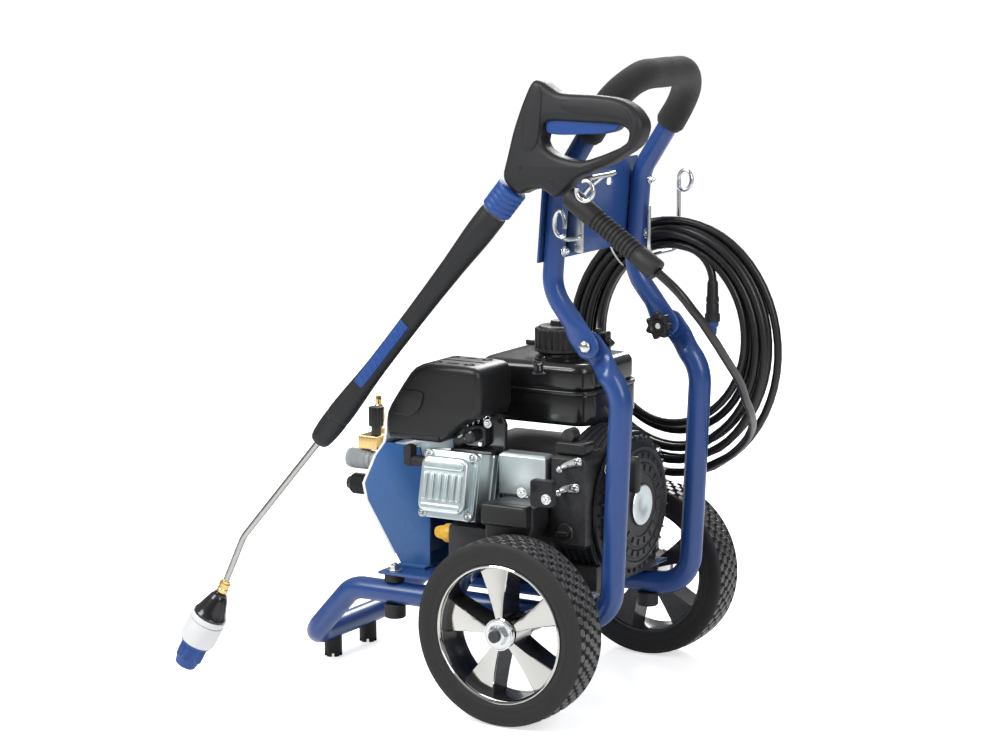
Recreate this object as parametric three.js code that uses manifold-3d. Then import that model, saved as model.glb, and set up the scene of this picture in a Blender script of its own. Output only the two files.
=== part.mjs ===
// A petrol pressure washer on a two-wheeled tube trolley, in millimetres, +Z up.
// +X is the side the spray gun hangs on, +Y is the side the user stands on.
// Pieces are placed about the wheel axle's plane; the whole group is then moved along Y,
// so that the origin lies on the floor under the middle of the machine.
import * as THREE from 'three';
import { mergeVertices } from 'three/addons/utils/BufferGeometryUtils.js';
import Module from 'manifold-3d';

const wasm = await Module();
wasm.setup();

// ---- Driving dimensions -------------------------------------------------------------------
const GAP = 0.3;                      // between pieces that touch
const AXLE_FROM_MIDDLE = 163.8;       // the axle's place along Y, from the machine's middle
const TRACK = 117.7;                  // frame tube centre line, from the middle plane
const LOWER_TUBE_R = 16;
const HANDLE_TUBE_R = 14;
const GRIP_R = 20;
const RAIL_Z = 130;
const CROSSBAR = { y: -393, z: 42 };
const PIVOT = { y: 72, z: 504 };      // bolts that join the handle to the lower frame
const LUG = { inner: 104.5, split: 117, outer: 129.5, halfWidth: 18 };
const WHEEL = { r: 127, halfWidth: 31, x: 208.1, lipR: 93.2, hubR: 22 };
const AXLE = { r: 10, boreR: 10.1, z: 127, sides: 32 };
const PLATE = { x: 135, front: -255, rear: 62, bottom: RAIL_Z + LOWER_TUBE_R + 12, thick: 4 };
const PLATE_TOP = PLATE.bottom + PLATE.thick;
const ISOLATOR = { r: 15, neckR: 5, holeR: 5.4, ys: { front: -238, rear: 40 } };
const FOOT = { r: 13, x: 46.3, top: 36 };
const CRANK = { z: 270, r: 12.5, boreR: 12.61, sides: 32 };
const CYLINDER_TILT = THREE.MathUtils.degToRad(12);
const GUARD = { halfWidth: 85, sheet: 3 };
const PORT_X = 62;                    // water outlet and inlet, side by side over each other
const GUN = { x: 165, z: 855, lean: 0.072, halfThick: 17 };
const HOSE_R = 5.75;
const COIL = { y: 54, z: 462, outerR: 187, innerR: 141, near: -152, far: -178, squash: 0.88 };
const WIRE_R = 3;

// ---- Materials ----------------------------------------------------------------------------
const finish = (color, roughness, metalness) =>
  new THREE.MeshStandardMaterial({ color, roughness, metalness });
const BLUE = finish(0x24407e, 0.35, 0.2);
const BLACK = finish(0x17181a, 0.5, 0);
const RUBBER = finish(0x141414, 0.85, 0);
const FOAM = finish(0x1d1d1f, 0.95, 0);
const BLUE_PLASTIC = finish(0x22468f, 0.45, 0);
const CHROME = finish(0xd9dbdd, 0.08, 1);
const STEEL = finish(0xb9bdbf, 0.3, 1);
const ALUMINIUM = finish(0xb4bcc0, 0.4, 0.9);
const IRON = finish(0x2c2e30, 0.6, 0.5);
const BRASS = finish(0xc89a4a, 0.3, 1);
const YELLOW = finish(0xd69a1e, 0.4, 0);
const WHITE = finish(0xe8e9ea, 0.4, 0);
const GREY = finish(0x8d9194, 0.45, 0.4);

// ---- Solids: joining and cutting ------------------------------------------------------------
function solid(geometry) {
  const bare = geometry.clone();
  bare.deleteAttribute('normal');
  bare.deleteAttribute('uv');
  const merged = mergeVertices(bare, 1e-4);
  return new wasm.Manifold(new wasm.Mesh({
    numProp: 3,
    vertProperties: new Float32Array(merged.attributes.position.array),
    triVerts: new Uint32Array(merged.index.array),
  }));
}

function geometryOf(manifold) {
  const mesh = manifold.getMesh();
  const geometry = new THREE.BufferGeometry();
  geometry.setAttribute('position', new THREE.BufferAttribute(mesh.vertProperties, 3));
  geometry.setIndex(new THREE.BufferAttribute(mesh.triVerts, 1));
  return geometry;
}

function join(first, ...others) {
  return geometryOf(others.reduce((sum, item) => sum.add(solid(item)), solid(first)));
}

function cut(first, ...others) {
  return geometryOf(others.reduce((rest, item) => rest.subtract(solid(item)), solid(first)));
}

// ---- Shapes -----------------------------------------------------------------------------------
const v3 = (x, y, z) => new THREE.Vector3(x, y, z);
const along = {
  x: new THREE.Matrix4().makeBasis(v3(0, 1, 0), v3(0, 0, 1), v3(1, 0, 0)),
  y: new THREE.Matrix4().makeBasis(v3(0, 0, 1), v3(1, 0, 0), v3(0, 1, 0)),
  z: new THREE.Matrix4(),
};

// An outline swept straight along one axis, from one height to another, its edges chamfered
// by `chamfer`. Outlines are (y, z) along x, (z, x) along y and (x, y) along z.
function slab(axis, outline, from, to, chamfer = 0) {
  const shape = new THREE.Shape(outline.map(([a, b]) => new THREE.Vector2(a, b)));
  const geometry = new THREE.ExtrudeGeometry(shape, {
    depth: to - from - 2 * chamfer,
    bevelEnabled: chamfer > 0,
    bevelThickness: chamfer,
    bevelSize: chamfer,
    bevelOffset: -chamfer,
    bevelSegments: 1,
  });
  geometry.translate(0, 0, from + chamfer);
  return geometry.applyMatrix4(along[axis]);
}

function box(x0, x1, y0, y1, z0, z1, chamfer = 0) {
  return slab('z', [[x0, y0], [x1, y0], [x1, y1], [x0, y1]], z0, z1, chamfer);
}

function circle(radius, sides, a = 0, b = 0) {
  return Array.from({ length: sides }, (_, i) => {
    const angle = (2 * Math.PI * i) / sides;
    return [a + radius * Math.cos(angle), b + radius * Math.sin(angle)];
  });
}

// A turned piece: rows of [radius, height], closed on themselves or ending on the axis.
function turned(axis, rows, sides, centre = v3(0, 0, 0)) {
  const geometry = new THREE.LatheGeometry(rows.map(([r, h]) => new THREE.Vector2(r, h)), sides);
  if (axis === 'z') geometry.rotateX(Math.PI / 2);
  if (axis === 'x') geometry.rotateZ(-Math.PI / 2);
  return facingOut(geometry.translate(centre.x, centre.y, centre.z));
}

// A profile may be listed in either direction, so its faces are turned round if they face in.
function facingOut(geometry) {
  const p = geometry.attributes.position;
  const order = geometry.index.array;
  const corner = (i) => v3(p.getX(order[i]), p.getY(order[i]), p.getZ(order[i]));
  let volume = 0;
  for (let i = 0; i < order.length; i += 3) {
    volume += corner(i).dot(corner(i + 1).cross(corner(i + 2)));
  }
  for (let i = 0; volume < 0 && i < order.length; i += 3) {
    [order[i], order[i + 1]] = [order[i + 1], order[i]];
  }
  return geometry;
}

function ring(axis, innerR, outerR, from, to, sides, centre) {
  const rows = [[innerR, from], [outerR, from], [outerR, to], [innerR, to], [innerR, from]];
  return turned(axis, rows, sides, centre);
}

function pin(axis, radius, from, to, sides, centre = v3(0, 0, 0)) {
  return turned(axis, [[0, from], [radius, from], [radius, to], [0, to]], sides, centre);
}

// A rod's centre line: straight runs joined by round bends, sampled only where it turns.
class BentPath extends THREE.Curve {
  constructor(corners, bendRadius, bendSteps = 6) {
    super();
    this.stations = [];
    this.headings = [];
    const last = corners.length - 1;
    const push = (point, heading) => {
      this.stations.push(point);
      this.headings.push(heading);
    };
    push(corners[0].clone(), corners[1].clone().sub(corners[0]).normalize());
    for (let i = 1; i < last; i += 1) {
      const into = corners[i].clone().sub(corners[i - 1]).normalize();
      const out = corners[i + 1].clone().sub(corners[i]).normalize();
      const turn = into.angleTo(out);
      const radius = Array.isArray(bendRadius) ? bendRadius[i - 1] : bendRadius;
      const setback = radius * Math.tan(turn / 2);
      const start = corners[i].clone().addScaledVector(into, -setback);
      const side = out.clone().addScaledVector(into, -out.dot(into)).normalize();
      for (let step = 0; step <= bendSteps; step += 1) {
        const angle = (turn * step) / bendSteps;
        const point = start.clone()
          .addScaledVector(into, radius * Math.sin(angle))
          .addScaledVector(side, radius * (1 - Math.cos(angle)));
        const heading = into.clone().multiplyScalar(Math.cos(angle))
          .addScaledVector(side, Math.sin(angle));
        push(point, heading);
      }
    }
    push(corners[last].clone(), corners[last].clone().sub(corners[last - 1]).normalize());
  }

  getPoint(t) {
    return this.stations[Math.round(t * (this.stations.length - 1))].clone();
  }

  getPointAt(u) {
    return this.getPoint(u);
  }

  getTangentAt(u) {
    return this.headings[Math.round(u * (this.stations.length - 1))].clone();
  }
}

function sweep(path, steps, outline, holes = []) {
  const shape = new THREE.Shape(outline.map(([a, b]) => new THREE.Vector2(a, b)));
  for (const hole of holes) {
    shape.holes.push(new THREE.Path(hole.map(([a, b]) => new THREE.Vector2(a, b))));
  }
  return new THREE.ExtrudeGeometry(shape, { steps, extrudePath: path, bevelEnabled: false });
}

function rod(corners, radius, bendRadius, sides = 12, bendSteps = 6) {
  const path = new BentPath(corners, bendRadius, bendSteps);
  return sweep(path, path.stations.length - 1, circle(radius, sides));
}

// ---- The assembly -------------------------------------------------------------------------------
const machine = new THREE.Group();
machine.position.set(0, AXLE_FROM_MIDDLE, 0);
const group = new THREE.Group();
group.add(machine);

function add(name, geometry, material, parent = machine) {
  const mesh = new THREE.Mesh(geometry, material);
  mesh.name = name;
  parent.add(mesh);
  return mesh;
}

const SIDES = [['left', 1], ['right', -1]];
const axleAt = v3(0, 0, AXLE.z);
const pivotAt = v3(0, PIVOT.y, PIVOT.z);
const slant = v3(0, -0.627, 0.779);   // the tubes lean forward where they are joined

// The flattened tube end round a pivot bolt: a rounded lug, `reach` long, one side of the split.
function lug(x0, x1, reach) {
  const outline = [];
  const w = LUG.halfWidth;
  for (let i = 0; i <= 8; i += 1) {
    const a = (Math.PI * i) / 8;
    const across = w * Math.cos(a);
    const behind = -w * Math.sin(a) * Math.sign(reach);
    outline.push([across, behind]);
  }
  outline.push([-w, reach], [w, reach]);
  const placed = outline.map(([a, b]) => [
    PIVOT.y + a * slant.z + b * slant.y,
    PIVOT.z - a * slant.y + b * slant.z,
  ]);
  if (reach > 0) placed.reverse();
  const geometry = slab('x', placed, x0, x1);
  return cut(geometry, pin('x', 4.5, x0 - 1, x1 + 1, 16, pivotAt));
}

// ---- Lower frame: one tube bent from lug to lug, with holes for the axle and the isolators ------
function lowerFrame() {
  const side = (s) => [
    v3(s * TRACK, PIVOT.y - 26 * slant.y, PIVOT.z - 26 * slant.z),
    v3(s * TRACK, 121, 443),
    v3(s * TRACK, 106, RAIL_Z),
    v3(s * TRACK, -308, RAIL_Z),
    v3(s * TRACK * 0.88, CROSSBAR.y, CROSSBAR.z),
  ];
  const corners = [...side(1), ...side(-1).reverse()];
  const bends = [60, 48, 45, 38, 38, 45, 48, 60];
  const tube = rod(corners, LOWER_TUBE_R, bends, 12, 5);
  const lugs = SIDES.map(([, s]) => {
    const [a, b] = s > 0 ? [LUG.inner, LUG.split - 0.5] : [-LUG.split + 0.5, -LUG.inner];
    return lug(a, b, -58);
  });
  const axleHole = pin('x', AXLE.r + GAP, -150, 150, 24, axleAt);
  const studHoles = SIDES.flatMap(([, s]) => Object.values(ISOLATOR.ys).map((y) =>
    pin('z', ISOLATOR.holeR, RAIL_Z - 25, RAIL_Z + 25, 12, v3(s * TRACK, y, 0))));
  return cut(join(tube, ...lugs), axleHole, ...studHoles);
}

// Rubber bush above and below the rail, on one stud that also holds the plate down.
function isolator(s, y) {
  const top = RAIL_Z + LOWER_TUBE_R + GAP;
  const low = RAIL_Z - LOWER_TUBE_R - GAP;
  const rows = [
    [0, low - 20], [ISOLATOR.r, low - 20], [ISOLATOR.r, low],
    [ISOLATOR.neckR, low], [ISOLATOR.neckR, top], [ISOLATOR.r, top],
    [ISOLATOR.r, PLATE.bottom - GAP], [ISOLATOR.neckR, PLATE.bottom - GAP],
    [ISOLATOR.neckR, PLATE_TOP + GAP], [8, PLATE_TOP + GAP], [8, PLATE_TOP + 7], [0, PLATE_TOP + 7],
  ];
  return turned('z', rows, 12, v3(s * TRACK, y, 0));
}

function basePlate() {
  const sheet = box(-PLATE.x, PLATE.x, PLATE.front, PLATE.rear, PLATE.bottom, PLATE_TOP);
  const holes = SIDES.flatMap(([, s]) => Object.values(ISOLATOR.ys).map((y) =>
    pin('z', ISOLATOR.holeR, PLATE.bottom - 1, PLATE_TOP + 1, 12, v3(s * TRACK, y, 0))));
  return cut(sheet, ...holes);
}

function foot(s) {
  const rows = [[0, 0], [FOOT.r - 1, 0], [FOOT.r, 1], [FOOT.r, FOOT.top], [0, FOOT.top]];
  const body = turned('z', rows, 20, v3(s * FOOT.x, CROSSBAR.y, 0));
  const centre = v3(0, CROSSBAR.y, CROSSBAR.z);
  return cut(body, pin('x', LOWER_TUBE_R + GAP + 0.2, -90, 90, 32, centre));
}

add('lower_frame', lowerFrame(), BLUE);
add('base_plate', basePlate(), BLUE);
for (const [name, s] of SIDES) {
  add(`foot_${name}`, foot(s), RUBBER);
  for (const [end, y] of Object.entries(ISOLATOR.ys)) {
    add(`isolator_${end}_${name}`, isolator(s, y), RUBBER);
  }
}

// ---- Axle and wheels ------------------------------------------------------------------------------
function axle() {
  const hubEnd = WHEEL.x + 26 + GAP;
  const parts = SIDES.flatMap(([, s]) => {
    const span = (a, b) => [Math.min(s * a, s * b), Math.max(s * a, s * b)];
    return [
      pin('x', 15, ...span(TRACK + LOWER_TUBE_R + 2, WHEEL.x - 26 - GAP), 20, axleAt),
      pin('x', 19, ...span(hubEnd, hubEnd + 3), 24, axleAt),
      pin('x', 14, ...span(hubEnd + 2, hubEnd + 12), 6, axleAt),
      pin('x', 7, ...span(hubEnd + 11, 250), 12, axleAt),
    ];
  });
  return join(pin('x', AXLE.r, -hubEnd - 1, hubEnd + 1, AXLE.sides, axleAt), ...parts);
}

function tyre(s) {
  const r = WHEEL.lipR + 0.8;
  const w = WHEEL.halfWidth;
  const rows = [
    [r, -w + 3], [r + 12, -w], [WHEEL.r - 8, -w], [WHEEL.r - 3, -w + 4], [WHEEL.r, -w + 9],
    [WHEEL.r, w - 9], [WHEEL.r - 3, w - 4], [WHEEL.r - 8, w], [r + 12, w], [r, w - 3],
    [r, -w + 3],
  ];
  return turned('x', rows, 32, v3(s * WHEEL.x, 0, AXLE.z));
}

function rim(s) {
  const lip = WHEEL.lipR;
  const rows = [
    [AXLE.boreR, -26], [WHEEL.hubR, -26], [WHEEL.hubR, 6], [lip - 6, 6], [lip - 6, -28],
    [lip, -28], [lip, 28], [lip - 6, 28], [lip - 10, 14], [WHEEL.hubR, 14], [WHEEL.hubR, 26],
    [AXLE.boreR, 26], [AXLE.boreR, -26],
  ];
  const body = turned('x', rows.map(([r, h]) => [r, s * h]), AXLE.sides, v3(s * WHEEL.x, 0, AXLE.z));
  const windows = Array.from({ length: 5 }, (_, i) => {
    const middle = Math.PI / 2 + ((i + 0.5) * 2 * Math.PI) / 5;
    const at = (r, a) => [r * Math.cos(middle + a), AXLE.z + r * Math.sin(middle + a)];
    const outline = [at(30, -0.4), at(80, -0.44), at(82, 0), at(80, 0.44), at(30, 0.4)];
    return slab('x', outline, s * WHEEL.x - 20, s * WHEEL.x + 20);
  });
  return cut(body, ...windows);
}

add('axle', axle(), STEEL);
for (const [name, s] of SIDES) {
  add(`tyre_${name}`, tyre(s), RUBBER);
  add(`rim_${name}`, rim(s), CHROME);
}

// ---- Pump, its guard and its fittings ---------------------------------------------------------------
const PUMP_FRONT = -267;
const UNLOADER = { x: 30, z: 322, reach: -319 };
const guardFront = [[-248, PLATE_TOP + GAP], [-303, 249], [-308, 273], [-288, 315], [-272, 336]];
const guardBack = [[-200, PLATE_TOP + GAP], [-200, 243], [-215, 334]];

// A strip that follows the guard's front edge, between two offsets ahead of it.
function frontStrip(near, far, rows) {
  const ahead = rows.map(([y, z]) => [y - far, z]);
  const behind = rows.map(([y, z]) => [y - near, z]).reverse();
  return [...ahead, ...behind].reverse();
}

const portHole = (z, r, x = PORT_X) => pin('y', r, -380, -270, 20, v3(x, 0, z));

function pumpGuard() {
  const wall = [...guardBack, ...[...guardFront].reverse()];
  const w = GUARD.halfWidth;
  const walls = SIDES.map(([, s]) => slab('x', wall, s > 0 ? w - GUARD.sheet : -w,
    s > 0 ? w : -w + GUARD.sheet));
  const front = slab('x', frontStrip(-GUARD.sheet - 0.5, 0, guardFront), -w, w);
  const base = box(-w - 13, w + 13, -246, -201, PLATE_TOP + GAP, PLATE_TOP + GAP + 3);
  const sheet = join(walls[0], walls[1], front, base);
  return cut(sheet, portHole(303, 17), portHole(266, 17), portHole(UNLOADER.z, 10, UNLOADER.x));
}

function frontPanel() {
  const rows = [[-257, 176], [-303, 249], [-308, 273], [-288, 315], [-272, 336], [-264, 374]];
  const w = GUARD.halfWidth;
  const sheet = slab('x', frontStrip(GAP, 5, rows), -w, w);
  return cut(sheet, portHole(303, 17), portHole(266, 17), portHole(UNLOADER.z, 10, UNLOADER.x));
}

function pumpBody() {
  const barrel = turned('y', [[0, -262], [46, -262], [46, -200], [52, -196], [52, -150],
    [0, -150]], 24, v3(0, 0, CRANK.z));
  const head = box(-45, 78, PUMP_FRONT, -240, 240, 335, 4);
  const socket = pin('y', CRANK.boreR, -200, -140, CRANK.sides, v3(0, 0, CRANK.z));
  return cut(join(barrel, head), socket);
}

function port(z, rows) {
  const placed = rows.map(([r, h]) => [r, PUMP_FRONT - GAP - h]);
  return turned('y', placed, 16, v3(PORT_X, 0, z));
}

// Brass block ahead of the panel, with the thermal relief nipple standing on it.
function unloaderValve() {
  const stub = pin('y', 9, UNLOADER.reach + 4, PUMP_FRONT - GAP, 14, v3(UNLOADER.x, 0, UNLOADER.z));
  const block = box(20, 72, UNLOADER.reach - 8, -296, 319, 339, 3);
  const nipple = turned('z', [[0, 336], [7, 336], [7, 352], [8.5, 355], [8.5, 372], [4, 378],
    [4, 390], [0, 390]], 12, v3(UNLOADER.x, UNLOADER.reach, 0));
  return join(block, stub, nipple);
}

add('pump_guard', pumpGuard(), BLUE);
add('front_panel', frontPanel(), WHITE);
add('pump_body', pumpBody(), ALUMINIUM);
add('outlet_coupler', port(303, [[0, 0], [13, 0], [13, 48], [15, 50], [15, 81], [7, 81], [7, 66],
  [0, 66]]), GREY);
add('inlet_connector', port(266, [[0, 0], [12, 0], [12, 46], [15.5, 48], [15.5, 74], [9, 76],
  [9, 82], [0, 82]]), BLACK);
add('unloader_valve', unloaderValve(), BRASS);
add('pressure_knob', turned('z', [[0, 339.3], [7, 339.3], [7, 352], [11, 354], [11, 377], [8, 380],
  [0, 380]], 14, v3(60, -304, 0)), BLACK);

// ---- Engine: crankcase, crankshaft and flywheel ----------------------------------------------------
const ENGINE = { front: -148, back: 20, base: PLATE_TOP + GAP };

// The cylinder's own frame: u runs out from the crankshaft, w rises across it.
const cylinder = new THREE.Group();
cylinder.position.set(0, 0, CRANK.z);
cylinder.rotation.y = -CYLINDER_TILT;
machine.add(cylinder);
const HEAD_U = 95;
const FILL = { x: 106, z: 222 };      // the oil filler, on the crankcase's front
const tilted = (u, w) => [
  CRANK.z + u * Math.sin(CYLINDER_TILT) + w * Math.cos(CYLINDER_TILT),
  u * Math.cos(CYLINDER_TILT) - w * Math.sin(CYLINDER_TILT),
];

function crankcase() {
  const outline = [
    [ENGINE.base, -98], [ENGINE.base, 98], [190, 124], [238, 122], [241, 101.5],
    tilted(HEAD_U - GAP, -24), tilted(HEAD_U - GAP, 44), [345, 60], [345, -60], [300, -92],
  ];
  const body = slab('y', outline, ENGINE.front, ENGINE.back, 4);
  const bore = pin('y', CRANK.boreR, ENGINE.front - 1, ENGINE.back + 1, CRANK.sides,
    v3(0, 0, CRANK.z));
  const fill = pin('y', 9.3, ENGINE.front - 1, ENGINE.front + 30, 16, v3(FILL.x, 0, FILL.z));
  return cut(body, bore, fill);
}

function dipstick() {
  const face = ENGINE.front - GAP;
  const plug = turned('y', [[0, face + 26], [8.5, face + 26], [8.5, face], [13, face],
    [13, face - 12], [0, face - 12]], 16, v3(FILL.x, 0, FILL.z));
  const wing = box(FILL.x - 3.5, FILL.x + 3.5, face - 30, face - 11, FILL.z - 12, FILL.z + 12, 1.5);
  return join(plug, wing);
}

function crankshaft() {
  const centre = v3(0, 0, CRANK.z);
  const shaft = pin('y', CRANK.r, -198, 26, CRANK.sides, centre);
  return join(shaft, pin('y', 9, 20, 58, 20, centre));
}

function flywheel() {
  const centre = v3(0, 0, CRANK.z);
  return turned('y', [[9.3, 27], [76, 27], [76, 40], [50, 44], [20, 50], [9.3, 50], [9.3, 27]],
    32, centre);
}

function cylinderHead() {
  const body = box(HEAD_U, 176, -150, -68, -46, 46);
  const fins = Array.from({ length: 4 }, (_, i) =>
    ring('x', 33, 80, HEAD_U + 10 + i * 12, HEAD_U + 15 + i * 12, 20, v3(0, -107, 0)));
  return cut(body, ...fins);
}

function valveCover() {
  const flange = box(176 + GAP, 183, -152, -67, -46, 46, 1);
  const dome = box(182, 209, -147, -72, -36, 40, 5);
  return join(flange, dome);
}

add('crankcase', crankcase(), IRON);
add('crankshaft', crankshaft(), STEEL);
add('flywheel', flywheel(), IRON);
add('dipstick', dipstick(), YELLOW);
add('cylinder_head', cylinderHead(), ALUMINIUM, cylinder);
add('valve_cover', valveCover(), ALUMINIUM, cylinder);
add('spark_plug_cap', join(pin('y', 8, -190, -152 - GAP, 12, v3(150, 0, 330)),
  box(142, 158, -196, -184, 322, 352, 3)), BLACK);

// ---- Engine: covers, air filter, tank ----------------------------------------------------------------
function mufflerCover() {
  const outline = [[-230, 357], [-136, 357], [-104, 388], [-76, 396], [-78, 458], [-90, 466], [-165, 466],
    [-190, 452], [-230, 395]];
  const body = slab('x', outline, 62, 152, 8);
  const slots = [0, 1].flatMap((row) => [0, 1, 2].map((i) =>
    box(82 + row * 26, 100 + row * 26, -158 + i * 26, -152 + i * 26, 460, 480)));
  return cut(body, ...slots);
}

const AIR_INNER = 130;               // the cover's lower half stands clear of the carburettor
const WING = { x: 147, y: 12, z: 466.3 };

function airFilterCover() {
  const outline = [[-66, 292], [68, 292], [68, 452], [58, 468], [-34, 468], [-66, 402]];
  const whole = slab('x', outline, 101, 200, 8);
  const rear = slab('z', [[215, 28], [215, 110], [95, 110], [95, 69], [125, 64]], 280, 480);
  const flange = box(174, 186, 20, 54, 294, 331);
  const slope = slab('y', [[480, 150], [480, 230], [420, 230]], -90, 100);
  const seat = pin('z', 17, WING.z - GAP, 480, 20, v3(WING.x, WING.y, 0));
  const lower = box(90, 172, 28, 100, 280, 366);
  return join(cut(whole, slope, seat, rear, lower, box(90, AIR_INNER, -90, 100, 280, 358)), flange);
}

function airFilterBase() {
  const outline = [[-56, 236], [6, 236], [18, 262], [18, 292 - GAP], [-56, 292 - GAP]];
  return slab('x', outline, AIR_INNER, 174, 5);
}

const CAP = { x: -15, y: -46 };

function fuelTank() {
  const outline = [[-112, -150], [45, -150], [45, 30], [-112, 30]];
  const body = slab('z', outline, 376, 462, 12);
  const neck = pin('z', 24, 455, 470, 20, v3(CAP.x, CAP.y, 0));
  return join(body, neck);
}

function fuelCap() {
  const rows = [[0, 470 + GAP], [34, 470 + GAP], [36, 474], [36, 500], [32, 506], [14, 507],
    [14, 513], [0, 513]];
  const lever = box(CAP.x - 5, CAP.x + 5, CAP.y - 56, CAP.y - 24, 474, 482, 1);
  return join(turned('z', rows, 24, v3(CAP.x, CAP.y, 0)), lever);
}

function wingNut() {
  const outline = [[2, 3], [2, 9], [16, 17], [18, 11], [10, 3]];
  const wing = (s) => slab('y', outline.map(([up, out]) => [WING.z + up, WING.x + s * out]),
    WING.y - 1.5, WING.y + 1.5);
  const hub = turned('z', [[0, 0], [8, 0], [6, 12], [0, 12]], 12, v3(WING.x, WING.y, WING.z));
  return join(hub, wing(1), wing(-1));
}

// ---- Engine: fan housing, recoil starter and controls --------------------------------------------------
const FAN = { x: 8, front: ENGINE.back + GAP, back: 72, r: 106 };

function fanHousing() {
  const centre = v3(FAN.x, 0, CRANK.z);
  const drum = pin('y', FAN.r, FAN.front, FAN.back, 36, centre);
  const shoulder = box(40, 128, FAN.front, FAN.back, 225, 357, 8);
  const floor = box(-80, 96, FAN.front, FAN.back, ENGINE.base, 200, 3);
  const hollow = pin('y', FAN.r - 18, FAN.front + 4, FAN.back + 1, 36, centre);
  const hole = pin('y', 20, FAN.front - 1, FAN.front + 6, 20, v3(0, 0, CRANK.z));
  return cut(join(drum, shoulder, floor), hollow, hole);
}

function recoilCover() {
  const front = FAN.back + GAP;
  const rows = [[0, front], [100, front], [100, front + 5], [92, front + 8], [80, front + 20],
    [40, front + 24], [0, front + 24]];
  return turned('y', rows, 32, v3(FAN.x, 0, CRANK.z));
}

function starterGrip() {
  const stem = pin('y', 6, 93.5, 112, 10, v3(68, 0, 325));
  return join(stem, box(60, 76, 108, 122, 300, 350, 4));
}

function engineSwitch() {
  const base = pin('x', 13, 128 + GAP, 136, 16, v3(0, 44, 250));
  return join(base, box(134, 144, 34, 54, 247, 253, 1));
}

// A flat lever on the fan housing's shoulder, pivoted at one end.
function lever(y, z, length, lift) {
  const outline = [...circle(7, 10, y, z)];
  const plate = slab('x', outline, 128 + GAP, 131.5);
  const arm = slab('x', [[y - 4, z], [y + 4, z], [y + 3 - length, z + lift],
    [y - 3 - length, z + lift]], 128 + GAP, 131.5);
  const knob = pin('x', 4.5, 131, 143, 10, v3(0, y - length, z + lift - 3));
  return join(plate, arm, knob);
}

function carburettor() {
  const body = box(102, AIR_INNER - GAP, -60, 12, 290, 350, 4);
  const bowl = pin('z', 13, 262, 292, 14, v3(116, -20, 0));
  return join(body, bowl);
}

add('carburettor', carburettor(), ALUMINIUM);
add('muffler_cover', mufflerCover(), BLACK);
add('air_filter_cover', airFilterCover(), BLACK);
add('air_filter_base', airFilterBase(), BLACK);
add('wing_nut', wingNut(), BLACK);
add('fuel_tank', fuelTank(), BLACK);
add('fuel_cap', fuelCap(), BLACK);
add('fan_housing', fanHousing(), BLACK);
add('recoil_cover', recoilCover(), BLACK);
add('starter_grip', starterGrip(), BLACK);
add('engine_switch', engineSwitch(), BLACK);
add('throttle_lever', lever(62, 348, 22, -9), STEEL);
add('choke_lever', lever(58, 312, 20, -5), STEEL);

// ---- Handle: one tube bent from lug to lug, with its grip, bolts and knobs -----------------------------
const handleSide = (s) => [
  v3(s * TRACK, PIVOT.y + 26 * slant.y, PIVOT.z + 26 * slant.z),
  v3(s * TRACK, 15.8, 574.2),
  v3(s * TRACK, 27.2, 716.4),
  v3(s * TRACK, 120, 860),
];
const TOP_BEND = 76;

function handleTube() {
  const corners = [...handleSide(1), ...handleSide(-1).reverse()];
  const tube = rod(corners, HANDLE_TUBE_R, [60, 60, TOP_BEND, TOP_BEND, 60, 60], 12, 5);
  const lugs = SIDES.map(([, s]) => {
    const [a, b] = s > 0 ? [LUG.split + 0.5, LUG.outer] : [-LUG.outer, -LUG.split - 0.5];
    return lug(a, b, 52);
  });
  return join(tube, ...lugs);
}

function foamGrip() {
  const start = (s) => v3(s * TRACK, 67.7, 779.1);
  const corners = [start(1), handleSide(1)[3], handleSide(-1)[3], start(-1)];
  const path = new BentPath(corners, TOP_BEND, 5);
  const hole = circle(HANDLE_TUBE_R + 0.7, 12);
  return sweep(path, path.stations.length - 1, circle(GRIP_R, 16), [hole]);
}

function pivotBolt(s) {
  const rows = [
    [0, LUG.outer + 7], [5, LUG.outer + 6], [8, LUG.outer + 3], [8, LUG.outer + GAP],
    [4.2, LUG.outer + GAP], [4.2, LUG.inner - 22], [0, LUG.inner - 22],
  ];
  return turned('x', rows.map(([r, h]) => [r, s * h]), 16, pivotAt);
}

function starKnob(s) {
  const lobes = 7;
  const rim = Array.from({ length: lobes * 4 }, (_, i) => {
    const angle = (2 * Math.PI * i) / (lobes * 4);
    const r = 17.2 + 2.3 * Math.cos(lobes * angle);
    return [PIVOT.y + r * Math.cos(angle), PIVOT.z + r * Math.sin(angle)];
  });
  const [a, b] = s > 0 ? [LUG.inner - 26, LUG.inner - 11] : [-LUG.inner + 11, -LUG.inner + 26];
  const face = LUG.inner - GAP;
  const hub = pin('x', 9, ...(s > 0 ? [a + 1, face] : [-face, b - 1]), 16, pivotAt);
  const [c, d] = s > 0 ? [LUG.inner - 22.5, 140] : [-140, -LUG.inner + 22.5];
  return cut(join(slab('x', rim, a, b, 2), hub), pin('x', 4.5, c, d, 16, pivotAt));
}

function hookPlate() {
  const front = HANDLE_TUBE_R + GAP;
  const y = (z) => 15.8 + ((z - 574.2) * (27.2 - 15.8)) / (716.4 - 574.2) - front;
  const outline = [[y(612) - 3, 612], [y(612), 612], [y(716), 716], [y(716), 736],
    [y(716) - 3, 736]];
  return slab('x', outline, -134, 134);
}

// Bent wire with an eye at its end: the wire runs to the eye's foot and once round it.
function eye(centre, radius, height, from, count) {
  return Array.from({ length: count + 1 }, (_, i) => {
    const angle = from - (i * 1.75 * Math.PI) / count;
    return v3(centre.x + (i * 7) / count, centre.y + radius * Math.cos(angle),
      centre.z + height * Math.sin(angle));
  });
}

function wire(points) {
  const curve = new THREE.CatmullRomCurve3(points, false, 'centripetal');
  return sweep(curve, Math.round(points.length * 1.4), circle(WIRE_R, 6));
}

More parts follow.
